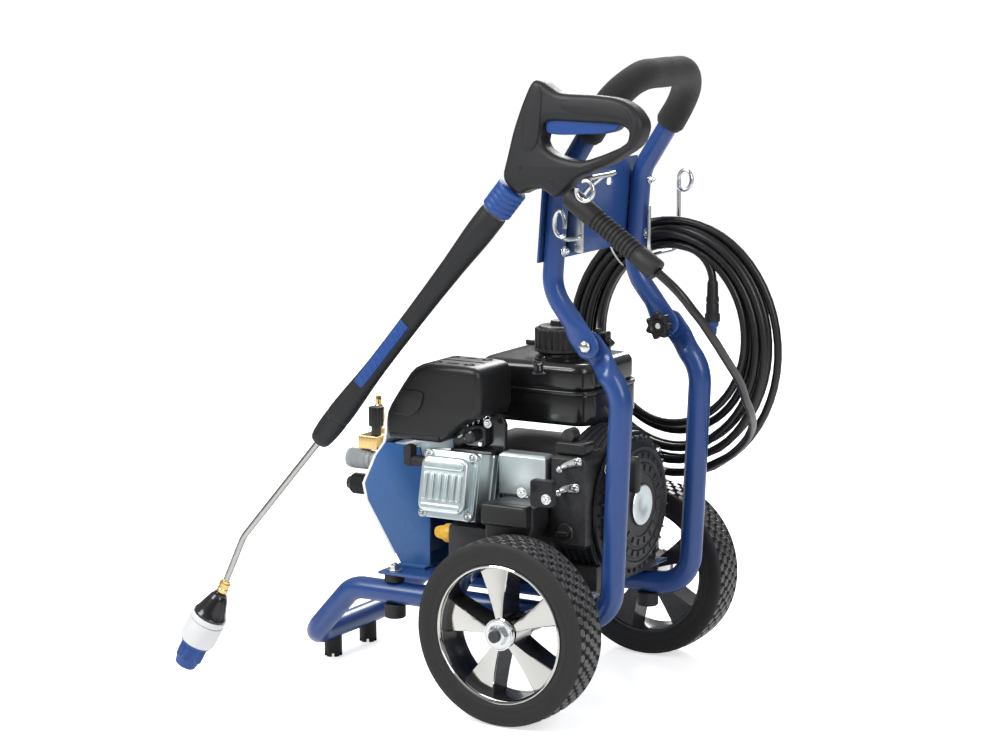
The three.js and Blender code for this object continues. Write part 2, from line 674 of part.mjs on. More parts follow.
function gunHooks() {
  const bar = box(95, 99, 17, 52, 624, 698, 0.5);
  const upper = wire([v3(98, 44, 690), v3(98, 62, 712), v3(98, 88, 731), v3(104, 102, 734),
    v3(120, 104, 733), v3(160, 104, 733), v3(192, 106, 732),
    ...eye(v3(198, 112, 719), 11, 13, Math.PI * 0.65, 10)]);
  const lower = wire([v3(98, 46, 644), v3(110, 44, 644), v3(126, 44, 645), v3(138, 43, 648),
    ...eye(v3(139, 42, 667), 9, 17, -Math.PI * 0.35, 10)]);
  return join(bar, upper, lower);
}

function hoseHook() {
  return wire([v3(-112, 42, 668), v3(-112, 42, 640), v3(-112, 42, 612), v3(-117, 41, 599),
    v3(-130, 38, 596), v3(-160, 37, 596), v3(-190, 37, 596), v3(-205, 38, 600),
    v3(-208, 39, 614), v3(-208, 40, 650), v3(-208, 40, 680),
    ...eye(v3(-208, 51, 696), 11, 14, Math.PI, 10)]);
}

add('handle_tube', handleTube(), BLUE);
add('foam_grip', foamGrip(), FOAM);
for (const [name, s] of SIDES) {
  add(`pivot_bolt_${name}`, pivotBolt(s), STEEL);
  add(`star_knob_${name}`, starKnob(s), BLACK);
}
add('hook_plate', hookPlate(), BLUE);
add('gun_hooks', gunHooks(), STEEL);
add('hose_hook', hoseHook(), STEEL);

// ---- Spray gun, drawn in its own plane: x is +Y of the machine, y is up, z is outwards ---------------
const gun = new THREE.Group();
gun.position.set(GUN.x, 0, GUN.z);
const gunUp = v3(-GUN.lean, 0, 1).normalize();
const gunOut = v3(1, 0, GUN.lean).normalize();
gun.quaternion.setFromRotationMatrix(new THREE.Matrix4().makeBasis(v3(0, 1, 0), gunUp, gunOut));
machine.add(gun);

// A turned piece along the line from one point of the gun's plane towards another.
function turnedAlong(start, end, rows, sides) {
  const geometry = turned('y', rows, sides);
  const heading = v3(end[0] - start[0], end[1] - start[1], 0).normalize();
  geometry.applyQuaternion(new THREE.Quaternion().setFromUnitVectors(v3(0, 1, 0), heading));
  return geometry.translate(start[0], start[1], 0);
}

const COLLAR = [[-9, -139], [-37, -174]];
const SLEEVE_END = [-307, -504];
const LANCE_BEND = [-430, -650];
const NIPPLE = [-466, -733];
const TIP = [-531, -851];
const GUARD_END = [66, -141];
const PROTECTOR_END = [208, -238];

function gunBody() {
  const outline = [[20, 1], [34, 0], [60, -15], [110, -16], [148, -19], [171, -30], [186, -50],
    [179, -76], [136, -104], [92, -121], [78, -134], [60, -152], [39, -136], [20, -141],
    [4, -149], [-21, -130], [-6, -66], [6, -31]];
  const opening = [[38, -50], [147, -52], [161, -62], [156, -78], [97, -100], [62, -94],
    [38, -82]];
  const body = slab('z', outline, -GUN.halfThick, GUN.halfThick, 6);
  const pocket = box(40, 146, -60, -37, -10, 10);
  return cut(body, slab('z', opening, -GUN.halfThick - 1, GUN.halfThick + 1), pocket);
}

function trigger() {
  const outline = [[42, -52.5], [140, -54.5], [120, -66], [60, -69], [42, -66]];
  return slab('z', outline, -8, 8, 2);
}

function gunCollar() {
  const start = [COLLAR[0][0] - 0.7, COLLAR[0][1] - 1];
  return turnedAlong(start, COLLAR[1], [[0, 1], [21, 1], [21, 40], [0, 40]], 20);
}

function lanceSleeve() {
  const length = 424;
  return turnedAlong(COLLAR[1], SLEEVE_END, [[0, 0], [19, 0], [19, 40], [16, 90], [13.5, 200],
    [13.5, 270], [16, 330], [17.5, 370], [16.5, 398], [12, length], [0, length]], 16);
}

function lanceTube() {
  const at = ([a, b]) => v3(a, b, 0);
  const heading = at(LANCE_BEND).sub(at(SLEEVE_END)).normalize();
  const start = at(SLEEVE_END).addScaledVector(heading, 0.8);
  const tube = rod([start, at(LANCE_BEND), at(NIPPLE)], 4.2, 60, 10, 4);
  const nipple = turnedAlong([-459, -717], NIPPLE, [[0, 0], [7.5, 0], [7.5, 15], [0, 15]], 10);
  return join(tube, nipple);
}

function nozzleBody() {
  const rows = [[0, 0.8], [9, 0.8], [13, 8], [22, 36], [25.4, 50], [0, 50]];
  return turnedAlong(NIPPLE, TIP, rows, 20);
}

function nozzleCap() {
  const rows = [[0, 50 + GAP], [26, 50 + GAP], [26, 84], [20, 90], [20, 112], [16, 128],
    [7, 128], [7, 120], [0, 120]];
  return turnedAlong(NIPPLE, TIP, rows, 20);
}

function bendProtector() {
  const start = [GUARD_END[0] + 8, GUARD_END[1] - 6];
  const outline = [[0, 0], [14.5, 0], [14.5, 50], [13, 56], [13, 128], [14.5, 132], [14.5, 156],
    [11, 160], [0, 160]];
  return turnedAlong(start, PROTECTOR_END, outline, 16);
}

add('gun_body', gunBody(), BLACK, gun);
add('trigger', trigger(), BLUE_PLASTIC, gun);
add('gun_collar', gunCollar(), BLUE_PLASTIC, gun);
add('lance_sleeve', lanceSleeve(), BLACK, gun);
add('lance_tube', lanceTube(), STEEL, gun);
add('nozzle_body', nozzleBody(), BLACK, gun);
add('nozzle_cap', nozzleCap(), BLUE_PLASTIC, gun);
add('bend_protector', bendProtector(), BLACK, gun);

// ---- Hose: from the gun down behind the frame to a coil on its hook ---------------------------------
function hoseLead() {
  const route = [
    [182.2, 206.6, 617.4], [183, 218, 609.5], [183, 230, 600], [180, 242, 587],
    [173, 251, 572], [159, 257, 556], [141, 260, 538], [120, 261, 520], [97, 260, 502],
    [72, 258, 484], [46, 255, 466], [20, 250, 447], [-6, 243, 427], [-31, 237, 411],
    [-55, 229, 397], [-78, 220, 385], [-99, 210, 373], [-119, 198, 360], [-134, 185, 346],
    [-143, 174, 334],
  ];
  const curve = new THREE.CatmullRomCurve3(route.map((p) => v3(...p)), false, 'centripetal');
  return sweep(curve, 40, circle(HOSE_R, 8));
}

function hoseCoil() {
  const body = ring('x', COIL.innerR, COIL.outerR, COIL.far, COIL.near, 36);
  body.scale(1, COIL.squash, 1);
  return body.translate(0, COIL.y, COIL.z);
}

function hoseConnector() {
  const rows = [[0, 0], [7, 0], [7, -22], [9, -24], [9, -46], [11, -48], [11, -66], [6, -68],
    [6, -76], [0, -76]];
  return turned('z', rows, 12, v3(-160, 118, 562));
}

add('hose_lead', hoseLead(), RUBBER);
add('hose_coil', hoseCoil(), RUBBER);
add('hose_connector', hoseConnector(), BLACK);

export default group;
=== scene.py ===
# %% [markdown]
# # A petrol pressure washer, finished in Blender
# The machine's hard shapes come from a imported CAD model, which stays as a fixed frame: it says
# where each part is and how it moves. This file gives the machine its looks. Each cell makes one
# part or one finish, and each step says what the real part is and why it is made this way.

# %% Load the frame
import math
import bmesh
import bpy
from mathutils import Matrix, Vector


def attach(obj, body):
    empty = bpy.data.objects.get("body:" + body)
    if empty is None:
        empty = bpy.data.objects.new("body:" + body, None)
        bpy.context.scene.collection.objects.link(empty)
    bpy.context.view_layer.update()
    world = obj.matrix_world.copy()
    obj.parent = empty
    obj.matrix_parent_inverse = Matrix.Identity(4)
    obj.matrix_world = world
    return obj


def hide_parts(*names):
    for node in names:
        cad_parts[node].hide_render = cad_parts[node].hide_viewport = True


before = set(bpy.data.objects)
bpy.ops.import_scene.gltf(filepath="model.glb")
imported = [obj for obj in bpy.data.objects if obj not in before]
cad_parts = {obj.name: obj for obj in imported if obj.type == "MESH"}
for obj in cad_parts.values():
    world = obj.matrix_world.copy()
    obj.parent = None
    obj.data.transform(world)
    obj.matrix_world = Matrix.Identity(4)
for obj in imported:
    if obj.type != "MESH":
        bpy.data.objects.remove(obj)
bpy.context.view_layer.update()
print("nodes in the frame:", len(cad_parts))

# %% [markdown]
# ## Millimetres on the machine
# A maker measures this machine in millimetres from the wheel axle, so the sizes below are written
# that way, as they are in the CAD source. One function turns such a point into Blender's metres.
# The spray gun hangs in a plane that leans a little, so it gets a function of its own.

# %% Places
MM = 0.001
AXLE_Y = 163.8                     # from the middle of the machine back to the axle, along Y
GUN_PLACE = Vector((165, 0, 855))
GUN_LEAN = 0.072
GUN_UP = Vector((-GUN_LEAN, 0, 1)).normalized()
GUN_OUT = Vector((1, 0, GUN_LEAN)).normalized()
SIDES = (("left", 1), ("right", -1))    # the machine's left is towards +X


def on_gun(p, q, out=0.0):
    """A point of the gun's plane: p runs back along Y, q up, and out away from the machine."""
    return GUN_PLACE + Vector((0, p, 0)) + GUN_UP * q + GUN_OUT * out


def metres(point):
    return Vector((point[0], point[1] + AXLE_Y, point[2])) * MM


print("the gun's grip is near", [round(c, 3) for c in metres(on_gun(100, -60))])

# %% [markdown]
# ## The camera
# The camera comes first. It stands about three and a half metres away with a long lens, so that
# the near wheel isn't swollen.

# %% Camera
LOOK = Vector((-0.84933, -0.50069, -0.16715))
RIGHT = Vector((-0.50714, 0.86185, -0.00475))
UP = Vector((-0.14643, -0.08073, 0.98592))
camera_data = bpy.data.cameras.new("studio_camera")
camera_data.lens = 95.9
camera_data.sensor_width = 36
camera = bpy.data.objects.new("studio_camera", camera_data)
camera.matrix_world = Matrix.Translation((3.18087, 1.90451, 1.0564)) @ Matrix(
    (RIGHT, UP, -LOOK)).transposed().to_4x4()
bpy.context.collection.objects.link(camera)
bpy.context.scene.camera = camera
print("camera looks down by", round(math.degrees(math.asin(-LOOK.z)), 1), "degrees")

# %% [markdown]
# ## Effects that finishes share
# A real surface is never one flat colour. Three small node groups give that life: *uneven* lets
# colour and gloss drift over a few centimetres, as paint and moulded plastic do, *grain* is the
# fine texture of the mould or casting, and the third group lightens corners: the rubbing of hands
# and tools on most finishes, and on the tread a painted highlight, the glint of light along the
# block edges. They put out only colours, masks and heights, and each material feeds them its
# own values.

# %% Node groups
def new_group(name, inputs, outputs):
    group = bpy.data.node_groups.new(name, "ShaderNodeTree")
    for label, kind, value in inputs:
        socket = group.interface.new_socket(label, in_out="INPUT", socket_type=kind)
        socket.default_value = value
    for label, kind in outputs:
        group.interface.new_socket(label, in_out="OUTPUT", socket_type=kind)
    return group, group.nodes.new("NodeGroupInput"), group.nodes.new("NodeGroupOutput")


def node(tree, kind, **settings):
    made = tree.nodes.new(kind)
    for key, value in settings.items():
        if key.startswith("in_"):
            made.inputs[int(key[3:])].default_value = value
        else:
            setattr(made, key, value)
    return made


def wire_up(tree, *pairs):
    for start, end in pairs:
        tree.links.new(start, end)


def uneven_group():
    group, given, result = new_group(
        "uneven",
        [("Color", "NodeSocketColor", (0.5, 0.5, 0.5, 1)), ("Roughness", "NodeSocketFloat", 0.5),
         ("Drift", "NodeSocketFloat", 0.1), ("Smudge", "NodeSocketFloat", 0.1),
         ("Scale", "NodeSocketFloat", 12.0)],
        [("Color", "NodeSocketColor"), ("Roughness", "NodeSocketFloat")])
    place = node(group, "ShaderNodeTexCoord")
    broad = node(group, "ShaderNodeTexNoise", in_3=4.0)
    tight = node(group, "ShaderNodeTexNoise", in_2=90.0, in_3=5.0)
    drift = node(group, "ShaderNodeMath", operation="MULTIPLY_ADD")
    centred = node(group, "ShaderNodeMath", operation="SUBTRACT", in_1=0.5)
    value = node(group, "ShaderNodeHueSaturation")
    smear = node(group, "ShaderNodeMath", operation="SUBTRACT", in_1=0.5)
    rough = node(group, "ShaderNodeMath", operation="MULTIPLY_ADD")
    wire_up(group,
            (place.outputs["Object"], broad.inputs["Vector"]),
            (place.outputs["Object"], tight.inputs["Vector"]),
            (given.outputs["Scale"], broad.inputs["Scale"]),
            (broad.outputs["Fac"], centred.inputs[0]),
            (centred.outputs[0], drift.inputs[0]),
            (given.outputs["Drift"], drift.inputs[1]),
            (drift.outputs[0], value.inputs["Value"]),
            (given.outputs["Color"], value.inputs["Color"]),
            (value.outputs["Color"], result.inputs["Color"]),
            (tight.outputs["Fac"], smear.inputs[0]),
            (smear.outputs[0], rough.inputs[0]),
            (given.outputs["Smudge"], rough.inputs[1]),
            (given.outputs["Roughness"], rough.inputs[2]),
            (rough.outputs[0], result.inputs["Roughness"]))
    drift.inputs[2].default_value = 1.0
    return group


def grain_group():
    group, given, result = new_group(
        "grain",
        [("Scale", "NodeSocketFloat", 900.0), ("Pits", "NodeSocketFloat", 0.5)],
        [("Height", "NodeSocketFloat")])
    place = node(group, "ShaderNodeTexCoord")
    noise = node(group, "ShaderNodeTexNoise", in_3=3.0)
    cells = node(group, "ShaderNodeTexVoronoi")
    both = node(group, "ShaderNodeMath", operation="MULTIPLY_ADD")
    wire_up(group,
            (place.outputs["Object"], noise.inputs["Vector"]),
            (place.outputs["Object"], cells.inputs["Vector"]),
            (given.outputs["Scale"], noise.inputs["Scale"]),
            (given.outputs["Scale"], cells.inputs["Scale"]),
            (cells.outputs["Distance"], both.inputs[0]),
            (given.outputs["Pits"], both.inputs[1]),
            (noise.outputs["Fac"], both.inputs[2]),
            (both.outputs[0], result.inputs["Height"]))
    return group


# Lightens convex edges, found by pointiness: rubbed wear on most finishes, and on the tread blocks
# a painted highlight that stands for the glint of light on their edges.
def wear_and_glint_group():
    group, given, result = new_group(
        "edge wear and glint",
        [("Color", "NodeSocketColor", (0.5, 0.5, 0.5, 1)),
         ("Rubbed and glint", "NodeSocketColor", (0.5, 0.5, 0.5, 1)), ("Amount", "NodeSocketFloat", 0.5)],
        [("Color", "NodeSocketColor")])
    shape = node(group, "ShaderNodeNewGeometry")
    edge = node(group, "ShaderNodeMapRange", in_1=0.52, in_2=0.6)
    place = node(group, "ShaderNodeTexCoord")
    noise = node(group, "ShaderNodeTexNoise", in_2=160.0, in_3=4.0)
    broken = node(group, "ShaderNodeMath", operation="MULTIPLY")
    amount = node(group, "ShaderNodeMath", operation="MULTIPLY", use_clamp=True)
    mix = node(group, "ShaderNodeMix", data_type="RGBA")
    wire_up(group,
            (shape.outputs["Pointiness"], edge.inputs[0]),
            (place.outputs["Object"], noise.inputs["Vector"]),
            (noise.outputs["Fac"], broken.inputs[0]),
            (edge.outputs[0], broken.inputs[1]),
            (broken.outputs[0], amount.inputs[0]),
            (given.outputs["Amount"], amount.inputs[1]),
            (amount.outputs[0], mix.inputs[0]),
            (given.outputs["Color"], mix.inputs[6]),
            (given.outputs["Rubbed and glint"], mix.inputs[7]),
            (mix.outputs[2], result.inputs["Color"]))
    return group


GROUPS = {"uneven": uneven_group(), "grain": grain_group(), "wear_and_glint": wear_and_glint_group()}
print("shared effects:", sorted(GROUPS))

# %% [markdown]
# ## The finishes
# Every finish is one Principled surface fed by the groups above. Powder coat is a blue with a
# clear coat and a faint orange peel, moulded plastic has a fine spark texture, the foam grip is
# a coarse dark sponge, and bright zinc, cast aluminium, chrome and brass are metals that differ
# in how rough and how even they are.

# %% Finishes
FINISHES = {}


def make_finish(name, color, rough, metallic=0.0, drift=0.15, smudge=0.08, scale=12.0,
                grain=900.0, pits=0.4, bump=0.1, depth=0.0002, rubbed_and_glint=None, wear_and_glint=0.0,
                coat=0.0, coat_rough=0.05, specular=0.35, sheen=0.0):
    material = bpy.data.materials.new(name)
    material.use_nodes = True
    tree = material.node_tree
    shader = tree.nodes["Principled BSDF"]
    uneven = node(tree, "ShaderNodeGroup", node_tree=GROUPS["uneven"])
    texture = node(tree, "ShaderNodeGroup", node_tree=GROUPS["grain"])
    edges = node(tree, "ShaderNodeGroup", node_tree=GROUPS["wear_and_glint"])
    relief = node(tree, "ShaderNodeBump")
    for label, value in (("Color", (*color, 1)), ("Roughness", rough), ("Drift", drift),
                         ("Smudge", smudge), ("Scale", scale)):
        uneven.inputs[label].default_value = value
    texture.inputs["Scale"].default_value = grain
    texture.inputs["Pits"].default_value = pits
    edges.inputs["Rubbed and glint"].default_value = (*(rubbed_and_glint or color), 1)
    edges.inputs["Amount"].default_value = wear_and_glint
    relief.inputs["Strength"].default_value = bump
    relief.inputs["Distance"].default_value = depth
    wire_up(tree,
            (uneven.outputs["Color"], edges.inputs["Color"]),
            (edges.outputs["Color"], shader.inputs["Base Color"]),
            (uneven.outputs["Roughness"], shader.inputs["Roughness"]),
            (texture.outputs["Height"], relief.inputs["Height"]),
            (relief.outputs["Normal"], shader.inputs["Normal"]))
    shader.inputs["Metallic"].default_value = metallic
    shader.inputs["Coat Weight"].default_value = coat
    shader.inputs["Coat Roughness"].default_value = coat_rough
    shader.inputs["Specular IOR Level"].default_value = specular
    shader.inputs["Sheen Weight"].default_value = sheen
    FINISHES[name] = material


make_finish("blue powder coat", (0.0135, 0.050, 0.195), 0.34, drift=0.14,
            grain=420, pits=0.2, bump=0.12, depth=0.00025, rubbed_and_glint=(0.06, 0.13, 0.33), wear_and_glint=0.5,
            coat=0.35, coat_rough=0.14)
make_finish("blue sheet coat", (0.012, 0.078, 0.250), 0.36, drift=0.10,
            grain=420, pits=0.2, bump=0.10, depth=0.00025, rubbed_and_glint=(0.05, 0.15, 0.36), wear_and_glint=0.5,
            coat=0.3, coat_rough=0.16)
make_finish("white powder coat", (0.80, 0.82, 0.84), 0.32, grain=420, pits=0.2,
            bump=0.12, rubbed_and_glint=(0.62, 0.63, 0.64), wear_and_glint=0.4, coat=0.4, coat_rough=0.15)
make_finish("moulded black plastic", (0.0080, 0.0082, 0.0088), 0.38, drift=0.4,
            smudge=0.16, grain=1700, pits=0.8, bump=0.16, rubbed_and_glint=(0.055, 0.056, 0.06), wear_and_glint=0.7)
make_finish("glossy black plastic", (0.009, 0.0092, 0.010), 0.20, drift=0.4,
            smudge=0.10, grain=700, bump=0.05, rubbed_and_glint=(0.05, 0.05, 0.055), wear_and_glint=0.6, coat=0.25)
make_finish("soft black grip plastic", (0.0105, 0.0108, 0.012), 0.50, drift=0.35,
            smudge=0.14, grain=1300, pits=1.0, bump=0.25, rubbed_and_glint=(0.05, 0.05, 0.055), wear_and_glint=0.5)
make_finish("black rubber", (0.012, 0.012, 0.0125), 0.55, drift=0.5, smudge=0.2,
            grain=1500, pits=0.6, bump=0.2, rubbed_and_glint=(0.04, 0.04, 0.042), wear_and_glint=0.4)
make_finish("hose rubber", (0.0085, 0.0085, 0.009), 0.34, drift=0.5, smudge=0.2,
            grain=1200, pits=0.5, bump=0.12, specular=0.45)
make_finish("tyre rubber", (0.013, 0.013, 0.0135), 0.62, drift=0.4, smudge=0.15,
            grain=1100, pits=0.7, bump=0.25, rubbed_and_glint=(0.05, 0.05, 0.052), wear_and_glint=0.8)
# The tread's pale grey edge colour is a painted highlight: the glint of light along the block
# edges.
make_finish("tread rubber", (0.010, 0.010, 0.0105), 0.34, drift=0.4, smudge=0.15,
            grain=1100, pits=0.4, bump=0.12, rubbed_and_glint=(0.16, 0.16, 0.165), wear_and_glint=0.9, specular=0.5)
make_finish("grip foam", (0.012, 0.012, 0.013), 0.88, drift=0.4, smudge=0.1,
            grain=800, pits=1.6, bump=0.7, depth=0.0006, sheen=0.15)
make_finish("mirror chrome", (0.56, 0.555, 0.535), 0.05, 1.0, drift=0.04, smudge=0.03,
            grain=60, bump=0.02, depth=0.0004)
make_finish("bright zinc", (0.60, 0.62, 0.63), 0.24, 1.0, drift=0.14,
            smudge=0.14, scale=60, grain=500, bump=0.1, rubbed_and_glint=(0.85, 0.86, 0.87), wear_and_glint=0.6)
make_finish("satin steel", (0.42, 0.42, 0.40), 0.30, 1.0, drift=0.1,
            smudge=0.1, scale=60, grain=500, bump=0.06, rubbed_and_glint=(0.6, 0.6, 0.58), wear_and_glint=0.4)
make_finish("cast aluminium", (0.62, 0.70, 0.715), 0.34, 0.9, drift=0.16,
            smudge=0.16, scale=30, grain=900, pits=0.9, bump=0.25, rubbed_and_glint=(0.8, 0.82, 0.83),
            wear_and_glint=0.8)
make_finish("dark cast iron", (0.030, 0.031, 0.034), 0.48, 0.25, drift=0.35,
            smudge=0.16, grain=650, pits=1.0, bump=0.4, rubbed_and_glint=(0.11, 0.11, 0.12), wear_and_glint=0.8)
make_finish("turned brass", (0.72, 0.50, 0.20), 0.24, 1.0, drift=0.14, smudge=0.1,
            scale=50, grain=700, bump=0.08, rubbed_and_glint=(0.9, 0.68, 0.34), wear_and_glint=0.6)
make_finish("yellow plastic", (0.68, 0.37, 0.03), 0.34, drift=0.14,
            grain=900, bump=0.1, rubbed_and_glint=(0.8, 0.52, 0.1), wear_and_glint=0.5)
make_finish("grey plastic", (0.27, 0.28, 0.29), 0.42, grain=1100, bump=0.2,
            rubbed_and_glint=(0.4, 0.4, 0.41), wear_and_glint=0.5)
make_finish("blue plastic", (0.012, 0.052, 0.215), 0.42, grain=1300, bump=0.16,
            rubbed_and_glint=(0.08, 0.16, 0.45), wear_and_glint=0.5)
make_finish("white plastic", (0.60, 0.61, 0.62), 0.4, grain=1200, bump=0.12)
print("finishes:", len(FINISHES))

# %% [markdown]
# ## Making a solid
# Every piece ends the same way, whatever made it: its doubled points are merged, its faces turned
# outwards, its faces shaded smooth except across real corners, it is told which body it moves
# with, and the CAD part it stands for is hidden. A bevel of a millimetre or less catches the light
# along the corners, as any real edge does.

# %% Settling a piece
MERGE = 2e-6                       # points closer than this, in metres, are one point
CORNER = math.radians(28)          # a bevel rounds edges that turn by more than this


def settle(name, mesh, finish, body, hides=(), bevel=0.0, crease=32, segments=2):
    shape = bmesh.new()
    shape.from_mesh(mesh)
    bmesh.ops.remove_doubles(shape, verts=shape.verts, dist=MERGE)
    bmesh.ops.dissolve_degenerate(shape, dist=1e-6, edges=shape.edges)
    bmesh.ops.recalc_face_normals(shape, faces=shape.faces)
    for face in shape.faces:
        face.smooth = True
    for edge in shape.edges:
        sharp = len(edge.link_faces) == 2 and edge.calc_face_angle(0.0) > math.radians(crease)
        edge.smooth = bevel > 0 or not sharp
    shape.to_mesh(mesh)
    shape.free()
    mesh.materials.clear()
    mesh.materials.append(FINISHES[finish])
    piece = bpy.data.objects.new(name, mesh)
    bpy.context.collection.objects.link(piece)
    if bevel > 0:
        rounding = piece.modifiers.new("rounding", "BEVEL")
        rounding.width = bevel * MM
        rounding.segments = segments
        rounding.limit_method = "ANGLE"
        rounding.angle_limit = CORNER
        rounding.harden_normals = True
    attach(piece, body)
    if hides:
        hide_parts(*hides)
    return piece


def raw(points, faces, name="raw"):
    """A plain mesh from points in millimetres, not yet settled."""
    mesh = bpy.data.meshes.new(name)
    mesh.from_pydata([metres(p) for p in points], [], faces)
    return mesh


def build(name, points, faces, finish, body, hides=(), **how):
    return settle(name, raw(points, faces, name), finish, body, hides, **how)


def soften(part, finish, body, bevel=0.8, name=None, **how):
    """A CAD part again, its flat faces joined up and its corners rounded."""
    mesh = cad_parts[part].data.copy()
    shape = bmesh.new()
    shape.from_mesh(mesh)
    bmesh.ops.remove_doubles(shape, verts=shape.verts, dist=1e-5)
    bmesh.ops.dissolve_limit(shape, angle_limit=math.radians(1.0), verts=shape.verts,
                             edges=shape.edges)
    shape.to_mesh(mesh)
    shape.free()
    return settle(name or part + "_finished", mesh, finish, body, (part,), bevel=bevel, **how)


# %% [markdown]
# ## Turned shapes, tubes and plates
# Three helpers make most of the machine. A *turned* shape spins a profile round an axis, as a
# lathe would. A *tube* carries a section along a line. A *plate* is an outline with rounded edges:
# Blender's flat curves do that well, because they fill, thicken and bevel an outline at once.

# %% Turned shapes
AXES = {"x": Vector((1, 0, 0)), "y": Vector((0, 1, 0)), "z": Vector((0, 0, 1))}
FORWARD = Vector((0, -1, 0))


def square_to(heading):
    """Two directions at right angles to a heading and to each other."""
    helper = AXES["z"] if abs(heading.z) < 0.9 else AXES["x"]
    side = heading.cross(helper).normalized()
    return side, heading.cross(side).normalized()


def as_heading(value):
    return AXES[value] if isinstance(value, str) else Vector(value).normalized()


def ring_faces(rings, sides, capped=True):
    """The faces between rings of points that lie one behind the other, and their end caps."""
    faces = [(k * sides + i, k * sides + (i + 1) % sides,
              (k + 1) * sides + (i + 1) % sides, (k + 1) * sides + i)
             for k in range(rings - 1) for i in range(sides)]
    if capped:
        last = (rings - 1) * sides
        faces += [tuple(reversed(range(sides))), tuple(range(last, last + sides))]
    return faces


def turned_mesh(rows, start, heading, sides):
    """Rows of (radius, height) spun round; rows that end where they began need no caps."""
    start, heading = Vector(start), as_heading(heading)
    side, other = square_to(heading)
    points = []
    for radius, height in rows:
        middle = start + heading * height
        for i in range(sides):
            a = 2 * math.pi * i / sides
            points.append(middle + (side * math.cos(a) + other * math.sin(a)) * max(radius, 1e-4))
    return points, ring_faces(len(rows), sides, rows[0] != rows[-1])


def turned(name, rows, start, heading, finish, body, hides=(), sides=48, **how):
    return build(name, *turned_mesh(rows, start, heading, sides), finish, body, hides, **how)


def turned_raw(rows, start, heading, sides=32):
    return raw(*turned_mesh(rows, start, heading, sides))


# %% Tubes
def bent_line(corners, radii, steps=10, run=25.0):
    """Straight runs joined by round bends, with a point at least every `run` millimetres."""
    corners = [Vector(c) for c in corners]
    radii = radii if isinstance(radii, (list, tuple)) else [radii] * (len(corners) - 2)
    line = [corners[0]]
    for i, radius in enumerate(radii, 1):
        into = (corners[i] - corners[i - 1]).normalized()
        out = (corners[i + 1] - corners[i]).normalized()
        turn = into.angle(out)
        start = corners[i] - into * radius * math.tan(turn / 2)
        side = (out - into * out.dot(into)).normalized()
        for step in range(steps + 1):
            a = turn * step / steps
            line.append(start + into * radius * math.sin(a) + side * radius * (1 - math.cos(a)))
    line.append(corners[-1])
    full = [line[0]]
    for a, b in zip(line, line[1:]):
        count = max(1, math.ceil((b - a).length / run))
        full += [a.lerp(b, (k + 1) / count) for k in range(count)]
    return full


def curved_line(points, between=6):
    """A smooth line through every point."""
    points = [Vector(p) for p in points]
    padded = [points[0] * 2 - points[1], *points, points[-1] * 2 - points[-2]]
    line = []
    for i in range(1, len(padded) - 2):
        before, here, there, after = padded[i - 1:i + 3]
        for k in range(between):
            t = k / between
            line.append(0.5 * ((2 * here) + (there - before) * t
                               + (2 * before - 5 * here + 4 * there - after) * t * t
                               + (3 * here - before - 3 * there + after) * t * t * t))
    return line + [points[-1]]


def tube_mesh(line, section, sides, across=None):
    """section(distance, whole) gives half-width, half-thickness and a sideways shift."""
    points, gone = [], 0.0
    whole = sum((b - a).length for a, b in zip(line, line[1:]))
    heading = (line[1] - line[0]).normalized()
    thick = Vector(across) if across else square_to(heading)[0]
    for i, middle in enumerate(line):
        if i:
            gone += (middle - line[i - 1]).length
        ahead = line[min(i + 1, len(line) - 1)] - line[max(i - 1, 0)]
        heading = ahead.normalized()
        thick = (thick - heading * thick.dot(heading)).normalized()
        wide = heading.cross(thick)
        half_wide, half_thick, shift = section(gone, whole)
        for k in range(sides):
            a = 2 * math.pi * k / sides
            points.append(middle + thick * (shift + half_thick * math.cos(a))
                          + wide * half_wide * math.sin(a))
    return points, ring_faces(len(line), sides)


def round_section(radius):
    return lambda gone, whole: (radius, radius, 0.0)


def tube(name, line, radius, finish, body, hides=(), sides=24, **how):
    return build(name, *tube_mesh(line, round_section(radius), sides), finish, body, hides, **how)


# %% Plates
PLANES = {
    "x": (AXES["y"], AXES["z"], AXES["x"], Vector()),
    "y": (AXES["z"], AXES["x"], AXES["y"], Vector()),
    "z": (AXES["x"], AXES["y"], AXES["z"], Vector()),
    "gun": (AXES["y"], GUN_UP, GUN_OUT, GUN_PLACE),
}


def eased(outline, rounds=2, share=0.25):
    """Cuts an outline's corners off, again and again, so that it runs smoothly."""
    for _ in range(rounds):
        cut = []
        for a, b in zip(outline, outline[1:] + outline[:1]):
            a, b = Vector(a), Vector(b)
            cut += [a.lerp(b, share), a.lerp(b, 1 - share)]
        outline = cut
    return outline


def disc(radius, a=0.0, b=0.0, sides=32, lobes=0, depth=0.0):
    return [(a + (radius + depth * math.cos(lobes * t)) * math.cos(t),
             b + (radius + depth * math.cos(lobes * t)) * math.sin(t))
            for t in (2 * math.pi * i / sides for i in range(sides))]


def plate_mesh(plane, outlines, low, high, edge, steps=3):
    flat = bpy.data.curves.new("outline", "CURVE")
    flat.dimensions = "2D"
    flat.fill_mode = "BOTH"
    flat.extrude = ((high - low) / 2 - edge) * MM
    flat.bevel_depth = edge * MM
    flat.bevel_resolution = steps
    flat.offset = -edge * MM
    for outline in outlines:
        spline = flat.splines.new("POLY")
        spline.points.add(len(outline) - 1)
        for point, (a, b) in zip(spline.points, outline):
            point.co = (a * MM, b * MM, 0, 1)
        spline.use_cyclic_u = True
    holder = bpy.data.objects.new("outline", flat)
    mesh = bpy.data.meshes.new_from_object(holder)
    bpy.data.objects.remove(holder)
    bpy.data.curves.remove(flat)
    first, second, out, origin = PLANES[plane]
    origin = metres(origin + out * (low + high) / 2)
    for vertex in mesh.vertices:
        x, y, z = vertex.co
        vertex.co = origin + first * x + second * y + out * z
    return mesh


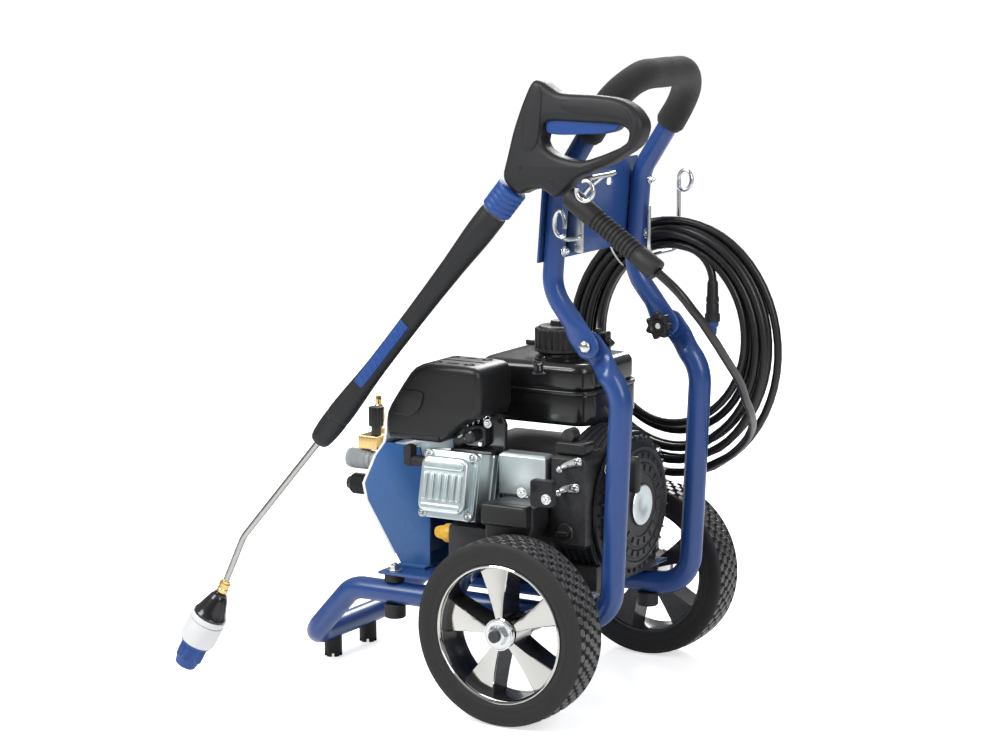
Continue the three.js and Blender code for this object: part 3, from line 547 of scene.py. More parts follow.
def plate(name, plane, outlines, low, high, edge, finish, body, hides=(), steps=3, **how):
    mesh = plate_mesh(plane, outlines, low, high, edge, steps)
    return settle(name, mesh, finish, body, hides, **how)


# %% [markdown]
# ## Cutting one shape from another
# Slots and recesses are cut with Blender's Boolean, and the result is kept as a plain mesh, so
# that nothing is left for later to compute.

# %% Cutting
def cut_away(mesh, *cutters):
    body_object = bpy.data.objects.new("blank", mesh)
    bpy.context.collection.objects.link(body_object)
    tools = []
    for cutter in cutters:
        clean = bmesh.new()
        clean.from_mesh(cutter)
        bmesh.ops.remove_doubles(clean, verts=clean.verts, dist=MERGE)
        bmesh.ops.recalc_face_normals(clean, faces=clean.faces)
        clean.to_mesh(cutter)
        clean.free()
        tool = bpy.data.objects.new("cutter", cutter)
        bpy.context.collection.objects.link(tool)
        step = body_object.modifiers.new("cut", "BOOLEAN")
        step.object = tool
        step.solver = "EXACT"
        tools.append(tool)
    result = bpy.data.meshes.new_from_object(
        body_object.evaluated_get(bpy.context.evaluated_depsgraph_get()))
    for thing in (body_object, *tools):
        bpy.data.objects.remove(thing)
    return result


def joined(*meshes):
    """Several plain meshes as one."""
    shape = bmesh.new()
    for mesh in meshes:
        shape.from_mesh(mesh)
    whole = bpy.data.meshes.new("joined")
    shape.to_mesh(whole)
    shape.free()
    return whole


print("helpers ready")

# %% [markdown]
# ## The hose
# The hose is 11.5 mm thick and about 7.6 m long. It leaves the gun's bend protector, drops
# behind the frame in one easy curve, and is wound clockwise, as seen from the machine's left, into
# a hanging coil of a little over seven and a half turns. The last end carries the connector. The
# turns fill a bundle two strands thick and four deep. A hung hose is tight over its hook and loose
# below, so each turn has a slack, which is how much higher than a circle it hangs at the bottom.

# %% Hose route
HOSE_R = 5.75
LEAD = [(182.2, 206.6, 617.4), (183, 218, 609.5), (183, 230, 600), (180, 242, 587),
        (173, 251, 572), (159, 257, 556), (141, 260, 538), (120, 261, 520), (97, 260, 502),
        (72, 258, 484), (46, 255, 466), (20, 250, 447), (-6, 243, 427), (-31, 237, 411),
        (-55, 229, 397), (-78, 220, 385), (-99, 210, 373), (-119, 198, 360), (-134, 185, 346)]
COIL_Y, COIL_Z, COIL_SQUASH = 54.0, 462.0, 0.88
HOOK_TURN_IN = 48.0                 # the bend before the connector, four hose widths wide
STRANDS = [(-158.5, 181), (-171.5, 181), (-171.5, 169.5), (-158.5, 169.5), (-158.5, 158),
           (-171.5, 158), (-171.5, 147), (-160, 147)]
SLACK = [0, 0, 8, 8, 14, 14, 27, 38]
COIL_START, COIL_END = math.radians(-62), math.radians(-280 - 360 * 7)
HOSE_END = (-160, 118, 562)


def coil_point(angle):
    """A point of the winding: each turn keeps its strand and moves to the next near the left."""
    turns = (COIL_START - angle) / (2 * math.pi)
    strand = min(int(turns), len(STRANDS) - 2)
    step = min(1.0, max(0.0, (turns - strand - 0.42) / 0.26))
    step = step * step * (3 - 2 * step)
    (x0, r0), (x1, r1) = STRANDS[strand], STRANDS[strand + 1]
    x, r = x0 + (x1 - x0) * step, r0 + (r1 - r0) * step
    low = 0.5 - 0.5 * math.sin(angle)
    r -= low * (SLACK[strand] + (SLACK[strand + 1] - SLACK[strand]) * step)
    x += low * 2.2 * math.sin(angle * 2.3 + strand)
    r += low * 1.3 * math.sin(angle * 1.7 + 2 * strand)
    return Vector((x, COIL_Y + COIL_SQUASH * r * math.cos(angle), COIL_Z + r * math.sin(angle)))


LEAD_IN = [(-146, 169, 331), (-155, 149, 315), coil_point(COIL_START)]
COIL_STEPS = 420
winding = [coil_point(COIL_START + (COIL_END - COIL_START) * k / COIL_STEPS)
           for k in range(1, COIL_STEPS + 1)]
leave_heading = (winding[-1] - winding[-2]).normalized()
last_corner = winding[-1] + leave_heading * (HOSE_END[1] - winding[-1].y) / leave_heading.y
down = Vector((HOSE_END[0], HOSE_END[1], HOSE_END[2] - 14))
tail = bent_line([winding[-1], Vector((HOSE_END[0], HOSE_END[1], last_corner.z)), down],
                 HOOK_TURN_IN, steps=8, run=60)
HOSE_LINE = curved_line([*LEAD, *LEAD_IN], 4) + winding + tail[1:]
HOSE_LINE = [p for i, p in enumerate(HOSE_LINE) if i == 0 or (p - HOSE_LINE[i - 1]).length > 0.5]
hose_length = sum((b - a).length for a, b in zip(HOSE_LINE, HOSE_LINE[1:])) * MM
print("hose length in metres:", round(hose_length, 2), "points:", len(HOSE_LINE))

# %% The hose, its connector and its tie
hose = tube("hose", HOSE_LINE, HOSE_R, "hose rubber", "handle", ("hose_lead", "hose_coil"),
            sides=16)
end = Vector(HOSE_END)
connector = turned(
    "hose_connector_finished",
    [(0, 0), (6.4, 0), (7.6, -4), (8.0, -22), (9.2, -25), (9.2, -30), (8.6, -31), (8.6, -33),
     (9.2, -34), (9.2, -46), (10.8, -48), (11, -52), (11, -58), (0, -58)],
    end, "z", "soft black grip plastic", "handle", ("hose_connector",), sides=32)
connector_tip = turned(
    "hose_connector_tip",
    [(0, -57.6), (9.0, -57.6), (9.0, -64), (6.6, -67), (6.2, -76), (4.2, -76), (4.2, -70),
     (0, -70)],
    end, "z", "blue plastic", "handle", sides=32)


def tie_line():
    """A loop of thin wire round the bundle, near the top of the coil's far side."""
    angle = math.radians(127)
    out = Vector((0, COIL_SQUASH * math.cos(angle), math.sin(angle)))
    middle = Vector((-165, COIL_Y, COIL_Z)) + out * 164
    return [middle + Vector((16.5 * math.cos(t), 0, 0)) + out * 27.5 * math.sin(t)
            for t in (2 * math.pi * k / 40 for k in range(41))]


tie = tube("hose_tie", tie_line(), 1.3, "white plastic", "handle", sides=8)
[tuple(metres(p)) for p in HOSE_LINE]

# %% [markdown]
# ## Light and floor
# A plain studio: a wide pale floor, three soft boxes and a sky that is bright overhead and darker
# to the sides. The darker sides matter, because chrome shows nothing but what is round it. Only
# reflections see that sky and an unlit floor: to the camera, both are plain white.

# %% Studio
FLOOR_HALF = 60
floor_mesh = bpy.data.meshes.new("studio_floor")
floor_mesh.from_pydata([(x * FLOOR_HALF, y * FLOOR_HALF, 0)
                        for x, y in ((-1, -1), (1, -1), (1, 1), (-1, 1))], [], [(0, 1, 2, 3)])
floor = bpy.data.objects.new("studio_floor", floor_mesh)
bpy.context.collection.objects.link(floor)
floor_finish = bpy.data.materials.new("pale floor")
floor_finish.use_nodes = True
floor_shader = floor_finish.node_tree.nodes["Principled BSDF"]
floor_shader.inputs["Base Color"].default_value = (0.93, 0.93, 0.93, 1)
floor_shader.inputs["Roughness"].default_value = 0.3
floor_shader.inputs["Specular IOR Level"].default_value = 0.3
floor_shader.inputs["Emission Color"].default_value = (1, 1, 1, 1)
seen = node(floor_finish.node_tree, "ShaderNodeLightPath")
glow = node(floor_finish.node_tree, "ShaderNodeMapRange")
glow.inputs["To Min"].default_value = 0.05
glow.inputs["To Max"].default_value = 0.62
wire_up(floor_finish.node_tree, (seen.outputs["Is Camera Ray"], glow.inputs["Value"]),
        (glow.outputs["Result"], floor_shader.inputs["Emission Strength"]))
floor_mesh.materials.append(floor_finish)

world = bpy.data.worlds.new("studio")
bpy.context.scene.world = world
world.use_nodes = True
sky = world.node_tree
direction = node(sky, "ShaderNodeTexCoord")
height = node(sky, "ShaderNodeSeparateXYZ")
ramp = node(sky, "ShaderNodeValToRGB")
ramp.color_ramp.elements[0].position = 0.0
ramp.color_ramp.elements[0].color = (0.13, 0.14, 0.15, 1)
ramp.color_ramp.elements[1].position = 0.7
ramp.color_ramp.elements[1].color = (1.0, 1.0, 1.0, 1)
backdrop = node(sky, "ShaderNodeMix", data_type="RGBA")
backdrop.inputs["B"].default_value = (1.7, 1.7, 1.7, 1)
wire_up(sky, (direction.outputs["Generated"], height.inputs[0]),
        (height.outputs["Z"], ramp.inputs[0]), (ramp.outputs["Color"], backdrop.inputs["A"]),
        (node(sky, "ShaderNodeLightPath").outputs["Is Camera Ray"], backdrop.inputs["Factor"]),
        (backdrop.outputs["Result"], sky.nodes["Background"].inputs["Color"]))
sky.nodes["Background"].inputs["Strength"].default_value = 0.62


def soft_box(name, place, target, size, watts):
    data = bpy.data.lights.new(name, "AREA")
    data.shape = "RECTANGLE"
    data.size, data.size_y = size
    data.energy = watts
    lamp = bpy.data.objects.new(name, data)
    toward = Vector(target) - Vector(place)
    turn = toward.to_track_quat("-Z", "Y").to_matrix().to_4x4()
    lamp.matrix_world = Matrix.Translation(place) @ turn
    bpy.context.collection.objects.link(lamp)


soft_box("key", (2.2, -1.2, 2.6), (0, 0, 0.4), (1.5, 1.9), 105)
soft_box("fill", (1.4, 2.8, 2.0), (0, 0, 0.5), (1.2, 2.0), 50)
soft_box("rim", (-2.6, -0.8, 2.2), (0, 0, 0.5), (1.2, 2.0), 75)
bpy.context.scene.view_settings.view_transform = "Standard"
print("studio lit")

# %% [markdown]
# ## The tube frame
# The trolley is two bent tubes, one below and one above, pressed flat where the pivot bolts join
# them. A tube that changes its section along its length is one strip of rings, so one helper
# carries a round section that flattens over the last few centimetres.

# %% Frame tubes
TRACK = 117.7
PIVOT = Vector((0, 72, 504))
SLANT = Vector((0, -0.627, 0.779))
LUG_HALF = 18.0
LUG_THICK = 6.0


def smooth_step(value, low, high):
    t = min(1.0, max(0.0, (value - low) / (high - low)))
    return t * t * (3 - 2 * t)


def flattened(radius, lug_shift, flat, round_again):
    """A tube's section: a rounded, flattened end that grows into a round tube."""
    def section(gone, whole):
        near = min(gone, whole - gone)
        grown = smooth_step(near, flat, round_again)
        wide = LUG_HALF + (radius - LUG_HALF) * grown
        if near < LUG_HALF:
            wide = math.sqrt(max(0.05, LUG_HALF ** 2 - (LUG_HALF - near) ** 2))
        thick = LUG_THICK - 0.6 + (radius - LUG_THICK + 0.6) * grown
        side = 1 if gone < whole / 2 else -1
        return wide, thick, side * lug_shift * (1 - grown)
    return section


def framed(corners, bends, first_step):
    """The line of a tube, with close steps at its flattened ends."""
    line = bent_line(corners, bends, steps=12, run=30)
    ends = [0, 1.2, 3, 6, 10, 14, 18, 26, 34, 40, 46, 52, 58, 64, 70]
    ahead = [line[0] + (line[1] - line[0]).normalized() * d for d in ends if d < first_step]
    behind = [line[-1] + (line[-2] - line[-1]).normalized() * d for d in ends if d < first_step]
    inner = [p for p in line[1:-1] if (p - line[0]).length > first_step
             and (p - line[-1]).length > first_step]
    return ahead + inner + behind[::-1]


def both_sides(half):
    """The right half of a tube's corners is the left half's, mirrored."""
    left = [Vector((TRACK * share, y, z)) for share, y, z in half]
    right = [Vector((-c.x, c.y, c.z)) for c in reversed(left)]
    return left + right


low_tip = PIVOT + SLANT * LUG_HALF
lower_line = framed(both_sides([(1, low_tip.y, low_tip.z), (1, 121, 443), (1, 106, 130),
                                (1, -308, 130), (0.88, -393, 42)]),
                    [60, 48, 45, 38, 38, 45, 48, 60], 66)
points, faces = tube_mesh(lower_line, flattened(16, -7.2, 40, 68), 32, across=(1, 0, 0))
build("lower_frame_tube", points, faces, "blue powder coat", "chassis", ("lower_frame",))

high_tip = PIVOT - SLANT * LUG_HALF
upper_line = framed(both_sides([(1, high_tip.y, high_tip.z), (1, 15.8, 574.2),
                                (1, 27.2, 716.4), (1, 120, 860)]),
                    [60, 60, 76, 76, 60, 60], 60)
points, faces = tube_mesh(upper_line, flattened(14, 5.8, 36, 62), 32, across=(1, 0, 0))
build("handle_tube_bent", points, faces, "blue powder coat", "handle", ("handle_tube",))
print("frame tubes:", len(lower_line), "and", len(upper_line), "rings")

# %% [markdown]
# ## The foam grip
# A sleeve of black sponge is pushed over the top bend. Its ends are cut square and the skin
# rounds over, so the sleeve is a tube whose radius falls away over the last few millimetres.

# %% Grip
grip_line = bent_line([(TRACK, 67.7, 779.1), (TRACK, 120, 860), (-TRACK, 120, 860),
                       (-TRACK, 67.7, 779.1)], 76, steps=18, run=8)


def grip_section(gone, whole):
    near = min(gone, whole - gone)
    radius = 20 - 3.4 * (1 - smooth_step(near, 0, 6)) + 0.25 * math.sin(gone / 9)
    return radius, radius, 0.0


points, faces = tube_mesh(grip_line, grip_section, 32)
build("foam_grip_sleeve", points, faces, "grip foam", "handle", ("foam_grip",))
print("grip rings:", len(grip_line))

# %% [markdown]
# ## Nuts and bolts
# The machine is held together with the same few fasteners over and over. One function turns a
# nut, its washer and the bolt's end, another a bolt's round head, and each group of fasteners is
# kept as one mesh for the body that it moves with.

# %% Fasteners
def nut_mesh(place, heading, across, tall, washer=True):
    """A chamfered hexagon nut with a washer under it and the bolt's end standing out."""
    place, heading = Vector(place), as_heading(heading)
    radius = across / math.sqrt(3)
    base = 1.2 if washer else 0.0
    parts = [turned_raw([(0, base), (radius * 0.93, base), (radius, base + 0.6),
                         (radius, base + tall - 0.8), (radius * 0.86, base + tall),
                         (0, base + tall)],
                        place, heading, 6),
             turned_raw([(0, base), (across * 0.28, base), (across * 0.28, base + tall + 1.6),
                         (across * 0.2, base + tall + 2.2), (0, base + tall + 2.2)],
                        place, heading, 16)]
    if washer:
        parts.append(turned_raw([(0, 0), (across * 0.86, 0), (across * 0.9, 0.4),
                                 (across * 0.9, 1.0), (across * 0.84, 1.3), (0, 1.3)],
                                place, heading, 28))
    return joined(*parts)


def dome_mesh(place, heading, radius, tall):
    """The round head of a carriage bolt."""
    rows = [(0, 0), (radius, 0), (radius, 0.6)]
    rows += [(radius * math.cos(a), 0.6 + (tall - 0.6) * math.sin(a))
             for a in (math.pi / 2 * k / 6 for k in range(1, 6))] + [(0, tall)]
    return turned_raw(rows, Vector(place), heading, 32)


def fasteners(name, meshes, body, hides=(), finish="bright zinc"):
    return settle(name, joined(*meshes), finish, body, hides, crease=28)


for side, s in SIDES:
    out = Vector((s, 0, 0))
    face = PIVOT + out * 129.9
    shank = turned_raw([(0, -48), (4.1, -48), (4.1, 0.2), (0, 0.2)], face, out, 20)
    fasteners(f"pivot_bolt_{side}_finished", [dome_mesh(face, out, 8.4, 4.6), shank], "handle",
              (f"pivot_bolt_{side}",))
print("pivot bolts set")

# %% [markdown]
# ## The tread
# A block-tread tyre repeats one little rubber block more than two hundred times. That is work for
# Geometry Nodes: the tree makes a point for each copy, and a *layout* works out where the copy
# goes and how it is turned. The tread's layout gives each block its angle and its column, and sets
# the outer columns a little lower, so that the tread is crowned.

# %% The tree that repeats a part
def repeating_tree(name, inputs, layout):
    tree = bpy.data.node_groups.new(name, "GeometryNodeTree")
    for label, kind, value in (("Part", "NodeSocketObject", None), *inputs,
                               ("Material", "NodeSocketMaterial", None)):
        socket = tree.interface.new_socket(label, in_out="INPUT", socket_type=kind)
        if value is not None:
            socket.default_value = value
    tree.interface.new_socket("Geometry", in_out="OUTPUT", socket_type="NodeSocketGeometry")
    given, result = tree.nodes.new("NodeGroupInput"), tree.nodes.new("NodeGroupOutput")

    def sum_of(operation, first, second=None):
        made = tree.nodes.new("ShaderNodeMath")
        made.operation = operation
        for slot, value in enumerate((first, second)):
            if isinstance(value, bpy.types.NodeSocket):
                tree.links.new(value, made.inputs[slot])
            elif value is not None:
                made.inputs[slot].default_value = value
        return made.outputs[0]

    index = tree.nodes.new("GeometryNodeInputIndex").outputs[0]
    count, spot, turns = layout(sum_of, index, given.outputs)
    place, turn = (tree.nodes.new("ShaderNodeCombineXYZ") for _ in range(2))
    for made, values in ((place, spot), (turn, turns)):
        for axis, value in values.items():
            tree.links.new(value, made.inputs[axis])
    points, part, copies, real, paint = (tree.nodes.new("GeometryNode" + kind) for kind in (
        "Points", "ObjectInfo", "InstanceOnPoints", "RealizeInstances", "SetMaterial"))
    wire_up(tree, (count, points.inputs["Count"]),
            (place.outputs[0], points.inputs["Position"]),
            (given.outputs["Part"], part.inputs[0]),
            (points.outputs[0], copies.inputs["Points"]),
            (part.outputs["Geometry"], copies.inputs["Instance"]),
            (turn.outputs[0], copies.inputs["Rotation"]),
            (copies.outputs[0], real.inputs[0]), (real.outputs[0], paint.inputs["Geometry"]),
            (given.outputs["Material"], paint.inputs["Material"]),
            (paint.outputs[0], result.inputs[0]))
    return tree


def tread_layout(sum_of, index, given):
    """Columns of blocks side by side, every other one half a step further round the axle."""
    column = sum_of("MODULO", index, given["Columns"])
    step = sum_of("FLOOR", sum_of("DIVIDE", index, given["Columns"]))
    stagger = sum_of("MULTIPLY", sum_of("MODULO", column, 2.0), 0.5)
    angle = sum_of("MULTIPLY", sum_of("DIVIDE", sum_of("ADD", step, stagger), given["Round"]),
                   2 * math.pi)
    middle = sum_of("MULTIPLY", sum_of("SUBTRACT", given["Columns"], 1.0), 0.5)
    across = sum_of("MULTIPLY", sum_of("SUBTRACT", column, middle), given["Pitch"])
    drop = sum_of("MULTIPLY", sum_of("MULTIPLY", across, across), given["Crown"])
    radius = sum_of("SUBTRACT", given["Radius"], drop)
    return (sum_of("MULTIPLY", given["Round"], given["Columns"]),
            {"X": across, "Y": sum_of("MULTIPLY", radius, sum_of("COSINE", angle)),
             "Z": sum_of("MULTIPLY", radius, sum_of("SINE", angle))}, {"X": angle})


TREAD = repeating_tree("blocks round a wheel", [
    ("Round", "NodeSocketInt", 50), ("Columns", "NodeSocketInt", 4),
    ("Radius", "NodeSocketFloat", 0.12), ("Pitch", "NodeSocketFloat", 0.0115),
    ("Crown", "NodeSocketFloat", 6.0)], tread_layout)
print("tread tree nodes:", len(TREAD.nodes))

# %% The tread
WHEEL_X = 208.1
AXLE_Z = 127.0


def tread_block():
    """A stepped block, its base at the origin and its top along +Y, 11 mm wide."""
    outline = [(-5.0, -5.6), (2.2, -5.6), (2.2, -3.4), (5.0, -3.4), (5.0, 5.6), (-2.2, 5.6),
               (-2.2, 3.4), (-5.0, 3.4)]
    levels = ((1.0, -1.0), (1.0, 4.0), (0.88, 4.7))
    points = [Vector((x * scale, up, z * scale)) * MM for scale, up in levels for x, z in outline]
    mesh = bpy.data.meshes.new("tread_block")
    mesh.from_pydata(points, [], ring_faces(len(levels), len(outline)))
    return bpy.data.objects.new("tread_block", mesh)


def grown(tree, **values):
    """Runs a node tree once and returns its result as a plain mesh."""
    holder = bpy.data.objects.new("grower", bpy.data.meshes.new("grower"))
    bpy.context.collection.objects.link(holder)
    step = holder.modifiers.new("grow", "NODES")
    step.node_group = tree
    for item in tree.interface.items_tree:
        if item.in_out == "INPUT" and item.name in values:
            step[item.identifier] = values[item.name]
    mesh = bpy.data.meshes.new_from_object(
        holder.evaluated_get(bpy.context.evaluated_depsgraph_get()))
    bpy.data.objects.remove(holder)
    return mesh


def moved(mesh, x, y, z, mirror=1):
    for vertex in mesh.vertices:
        vertex.co = Vector((vertex.co.x * mirror, vertex.co.y, vertex.co.z)) + metres((x, y, z))
    return mesh


block_shape = tread_block()
for side, s in SIDES:
    blocks = grown(TREAD, Part=block_shape, Round=46, Columns=5, Radius=0.1221, Pitch=0.0104,
                   Crown=3.0, Material=FINISHES["tread rubber"])
    settle(f"tread_{side}", moved(blocks, s * WHEEL_X, 0, AXLE_Z, s), "tread rubber",
           f"{side}_wheel")
    print("tread faces:", len(blocks.polygons))
bpy.data.objects.remove(block_shape)

# %% [markdown]
# ## Tyres and chrome wheels
# The tyre under the tread has a smooth sidewall with a bead line and a shallow groove. The wheel
# is plastic with a chrome face: five thin wedge spokes, a hub and a narrow lip. Deeper in, the
# wheel is drawn black: a deep body under each spoke, and the barrel under the tyre. The spokes
# are drawn as one wedge, turned five times.

# %% Tyres
for side, s in SIDES:
    half = [(94, 28), (97, 30), (104, 31), (106, 30.4), (108, 31), (117, 31), (123, 30),
            (124.6, 28.8), (125.2, 27.0), (122.6, 25.8), (122.6, 0)]
    rows = [(radius, -x) for radius, x in half[:-1]] + half[::-1] + [(94, -28)]
    turned(f"tyre_{side}_body", rows, (s * WHEEL_X, 0, AXLE_Z), Vector((s, 0, 0)), "tyre rubber",
           f"{side}_wheel", (f"tyre_{side}",), sides=120)
print("tyres turned")

# %% Wheels
SPOKE_TURN = math.radians(100)
SPOKES = 5
HUB_NUT_X = 234.6                  # the outer face of each hub
SPOKE_ROWS = [(20, 5.5), (40, 9.5), (60, 14.5), (80, 20.5), (89, 24.0)]


def spoke_mesh(s, turn, face):
    """A wedge: its bright outer face, or the dark deep body behind that face."""
    along = Vector((0, math.cos(turn), math.sin(turn)))
    across = Vector((0, -math.sin(turn), math.cos(turn)))
    centre = Vector((s * WHEEL_X, 0, AXLE_Z))
    points = []
    for radius, half in SPOKE_ROWS:
        dish = 20 - 7 * (radius - 20) / 69
        section = ((-1, dish - 2.4), (-1, dish - 1.2), (-0.93, dish), (0, dish + 1.4),
                   (0.93, dish), (1, dish - 1.2), (1, dish - 2.4)) if face else (
                  (-0.94, -26), (-0.96, dish - 12), (-0.97, dish - 2), (0, dish - 1.4),
                  (0.97, dish - 2), (0.96, dish - 12), (0.94, -26))
        for side, depth in section:
            points.append(centre + along * radius + across * half * side
                          + Vector((s * depth, 0, 0)))
    return raw(points, ring_faces(len(SPOKE_ROWS), len(section)))


for side, s in SIDES:
    centre, out = (s * WHEEL_X, 0, AXLE_Z), Vector((s, 0, 0))
    lip = turned_raw([(90.2, 25.4), (90.4, 26.4), (91.4, 27.8), (93.4, 28.4), (94.3, 30.2),
                      (92.9, 31.1), (91.3, 30.6), (89.9, 28.6), (89.2, 26.6), (89.2, 25.4),
                      (90.2, 25.4)],
                     centre, out, 128)
    hub = turned_raw([(10.2, -26), (22, -26), (22, 16), (20.6, 20), (18, 21.4), (17.6, 25.6),
                      (10.2, 25.6), (10.2, -26)], centre, out, 64)
    turns = [SPOKE_TURN + 2 * math.pi * k / SPOKES for k in range(SPOKES)]
    spokes = [spoke_mesh(s, turn, True) for turn in turns]
    settle(f"rim_{side}_spoke_backs", joined(*(spoke_mesh(s, turn, False) for turn in turns)),
           "glossy black plastic", f"{side}_wheel", crease=24)
    settle(f"rim_{side}_chrome", joined(lip, hub, *spokes), "mirror chrome", f"{side}_wheel",
           (f"rim_{side}",), crease=24)
    turned(f"rim_{side}_barrel", [(93.6, -28), (93.6, 27), (90, 27), (88.7, 10), (88.7, -24),
                                  (90, -28), (93.6, -28)], centre, out, "glossy black plastic",
           f"{side}_wheel", sides=96)
    nut = nut_mesh((s * HUB_NUT_X, 0, AXLE_Z), out, 24, 8)
    hub_washer = turned_raw([(10.3, 0), (19, 0), (19.6, 0.6), (19.6, 2.2), (19, 2.8), (10.3, 2.8),
                             (10.3, 0)], (s * 234.2, 0, AXLE_Z), out, 48)
    thread = turned_raw([(0, -12)] + [(8.2 - 0.7 * (k % 2), 8 + 0.5 * k) for k in range(14)]
                        + [(0, 14.8)], (s * HUB_NUT_X, 0, AXLE_Z), out, 24)
    spacer = turned_raw([(0, -99), (15, -99), (15, -53), (9.8, -52), (9.8, 0), (0, 0)],
                        (s * HUB_NUT_X, 0, AXLE_Z), out, 40)
    fasteners(f"axle_end_{side}", [nut, hub_washer, spacer], "chassis")
    settle(f"axle_thread_{side}", thread, "dark cast iron", "chassis", crease=28)
turned("axle_bar", [(0, -140), (9.9, -140), (9.9, 140), (0, 140)], (0, 0, AXLE_Z), "x",
       "bright zinc", "chassis", ("axle",), sides=40)
print("wheels made with", SPOKES, "spokes each")

# %% [markdown]
# ## Feet, isolators and the engine plate
# Two black rubber feet with a notched rim hold the front up. Rubber isolators carry the engine
# plate on the rails, each with a bolt through it and a zinc nut on top.

# %% Feet
FOOT_X, FOOT_Y = 46.3, -393


def foot_mesh(x):
    """A rubber foot, its lower rim cut into six blocks, hollowed to sit under the round tube."""
    body = turned_raw([(0, 5), (12.2, 5), (13, 6), (13, 36), (0, 36)], (x, FOOT_Y, 0), "z", 48)
    blocks = []
    for k in range(6):
        a = 2 * math.pi * k / 6
        arc = [a - 0.33 + 0.66 * i / 6 for i in range(7)]
        points = [(x + r * math.cos(t), FOOT_Y + r * math.sin(t), z)
                  for z in (0.0, 5.2) for r, ts in ((13, arc), (8, arc[::-1])) for t in ts]
        blocks.append(raw(points, ring_faces(2, 2 * len(arc))))
    tube_space = turned_raw([(0, -30), (16.4, -30), (16.4, 30), (0, 30)], (x, FOOT_Y, 42), "x", 48)
    return joined(cut_away(body, tube_space), *blocks)


for side, s in SIDES:
    settle(f"foot_{side}_notched", foot_mesh(s * FOOT_X), "black rubber", "chassis",
           (f"foot_{side}",), bevel=0.4)
print("feet made")

# %% Isolators and plate
nuts = []
for end, y in (("front", -238), ("rear", 40)):
    for side, s in SIDES:
        x = s * TRACK
        rows = [(0, 94), (13.6, 94), (15, 95.4), (15, 112.4), (14, 113.6), (5, 113.6), (5, 146.4),
                (14, 146.4), (15, 147), (14.4, 152), (15, 157), (14.4, 157.6), (5, 157.6),
                (0, 157.6)]
        turned(f"isolator_{end}_{side}_rubber", rows, (x, y, 0), "z", "black rubber", "chassis",
               (f"isolator_{end}_{side}",), sides=48)
        nuts.append(nut_mesh((x, y, 162.2), "z", 13, 6.4))
fasteners("plate_nuts", nuts, "chassis")
soften("base_plate", "blue powder coat", "chassis", 1.2)
print("plate nuts:", len(nuts))

# %% [markdown]
# ## Pump, guard and water fittings
# A folded blue guard covers the pump and a white panel closes its front, where the water goes in
# and out: a grey outlet with a black bore, a black inlet, a brass valve and its black knob.

# %% Pump and guard
soften("pump_guard", "blue sheet coat", "chassis", 1.1)
soften("front_panel", "white powder coat", "chassis", 1.0)
soften("pump_body", "cast aluminium", "chassis", 1.5)
PORT_X, PANEL_Y = 62, -267.3
turned("outlet_coupler_turned",
       [(0, 0), (13, 0), (13, 10), (11.4, 12), (11.4, 40), (13, 42), (13, 48), (14.6, 50)]
       + [(15 - 0.7 * (k % 2), 52 + 1.5 * k) for k in range(16)]
       + [(14.6, 77), (13.4, 80.6), (9.5, 81), (8, 79), (8, 56), (0, 56)],
       (PORT_X, PANEL_Y, 303), FORWARD, "grey plastic", "chassis",
       ("outlet_coupler",), sides=48)
turned("outlet_bore", [(0, 56.4), (7.8, 56.4), (7.8, 78.6), (6.4, 78.6), (6.4, 60), (0, 60)],
       (PORT_X, PANEL_Y, 303), FORWARD, "black rubber", "chassis", sides=32)
turned("inlet_connector_turned",
       [(0, 0), (12, 0), (12, 40), (15, 46)] + [(15.4 - 1.2 * (k % 2), 48 + 2.0 * k)
                                               for k in range(13)]
       + [(13, 75.6), (10, 77), (9, 82), (6.6, 82), (6.6, 70), (0, 70)],
       (PORT_X, PANEL_Y, 266), FORWARD, "soft black grip plastic", "chassis",
       ("inlet_connector",), sides=48)
brass_block = plate_mesh("z", [[(20, -327), (72, -327), (72, -296), (20, -296)]], 319, 339, 2.5)
brass_stub = turned_raw([(0, -315), (9, -315), (9, -267.3), (0, -267.3)], (30, 0, 322), "y", 32)
nipple = turned_raw([(0, 330), (9.6, 337), (9.6, 344), (7, 345), (7, 351), (8.6, 353), (9, 360),
                     (8.6, 366), (8.6, 371), (6.2, 375), (4.2, 378), (4.4, 384), (4.6, 385.4),
                     (3.4, 389.6), (0, 389.6)], (30, -319, 0), "z", 40)
settle("unloader_brass", joined(brass_block, brass_stub, nipple), "turned brass", "chassis",
       ("unloader_valve",), crease=30)
knob_stem = turned_raw([(0, 339.4), (7, 339.4), (7, 352.6), (0, 352.6)], (60, -304, 0), "z", 32)
knob_grip = plate_mesh("z", [disc(10.4, 60, -304, 96, 16, 0.5)], 352, 380, 1.6)
settle("pressure_knob_fluted", joined(knob_stem, knob_grip), "moulded black plastic",
       "pressure_knob", ("pressure_knob",), crease=28)
print("pump fittings made")

# %% [markdown]
# ## The engine block
# The crankcase and the cylinder head are castings, so they are dark or pale metal with a coarse
# skin, rounded corners, cooling fins and bolt bosses. The valve cover is the bright cast plate
# that faces outwards, with raised ribs and four bolts. The cylinder leans, so its parts are drawn
# upright in the cylinder's own directions and then turned about the crankshaft.

# %% Engine castings
CRANK_Z = 270
TILT = math.radians(12)
CYLINDER_OUT = Vector((math.cos(TILT), 0, math.sin(TILT)))
CYLINDER_UP = Vector((-math.sin(TILT), 0, math.cos(TILT)))
PLANES["cylinder"] = (CYLINDER_UP * -1, AXES["y"], CYLINDER_OUT, Vector((0, 0, CRANK_Z)))


def on_cylinder(out, y, up):
    return Vector((0, y, CRANK_Z)) + CYLINDER_OUT * out + CYLINDER_UP * up


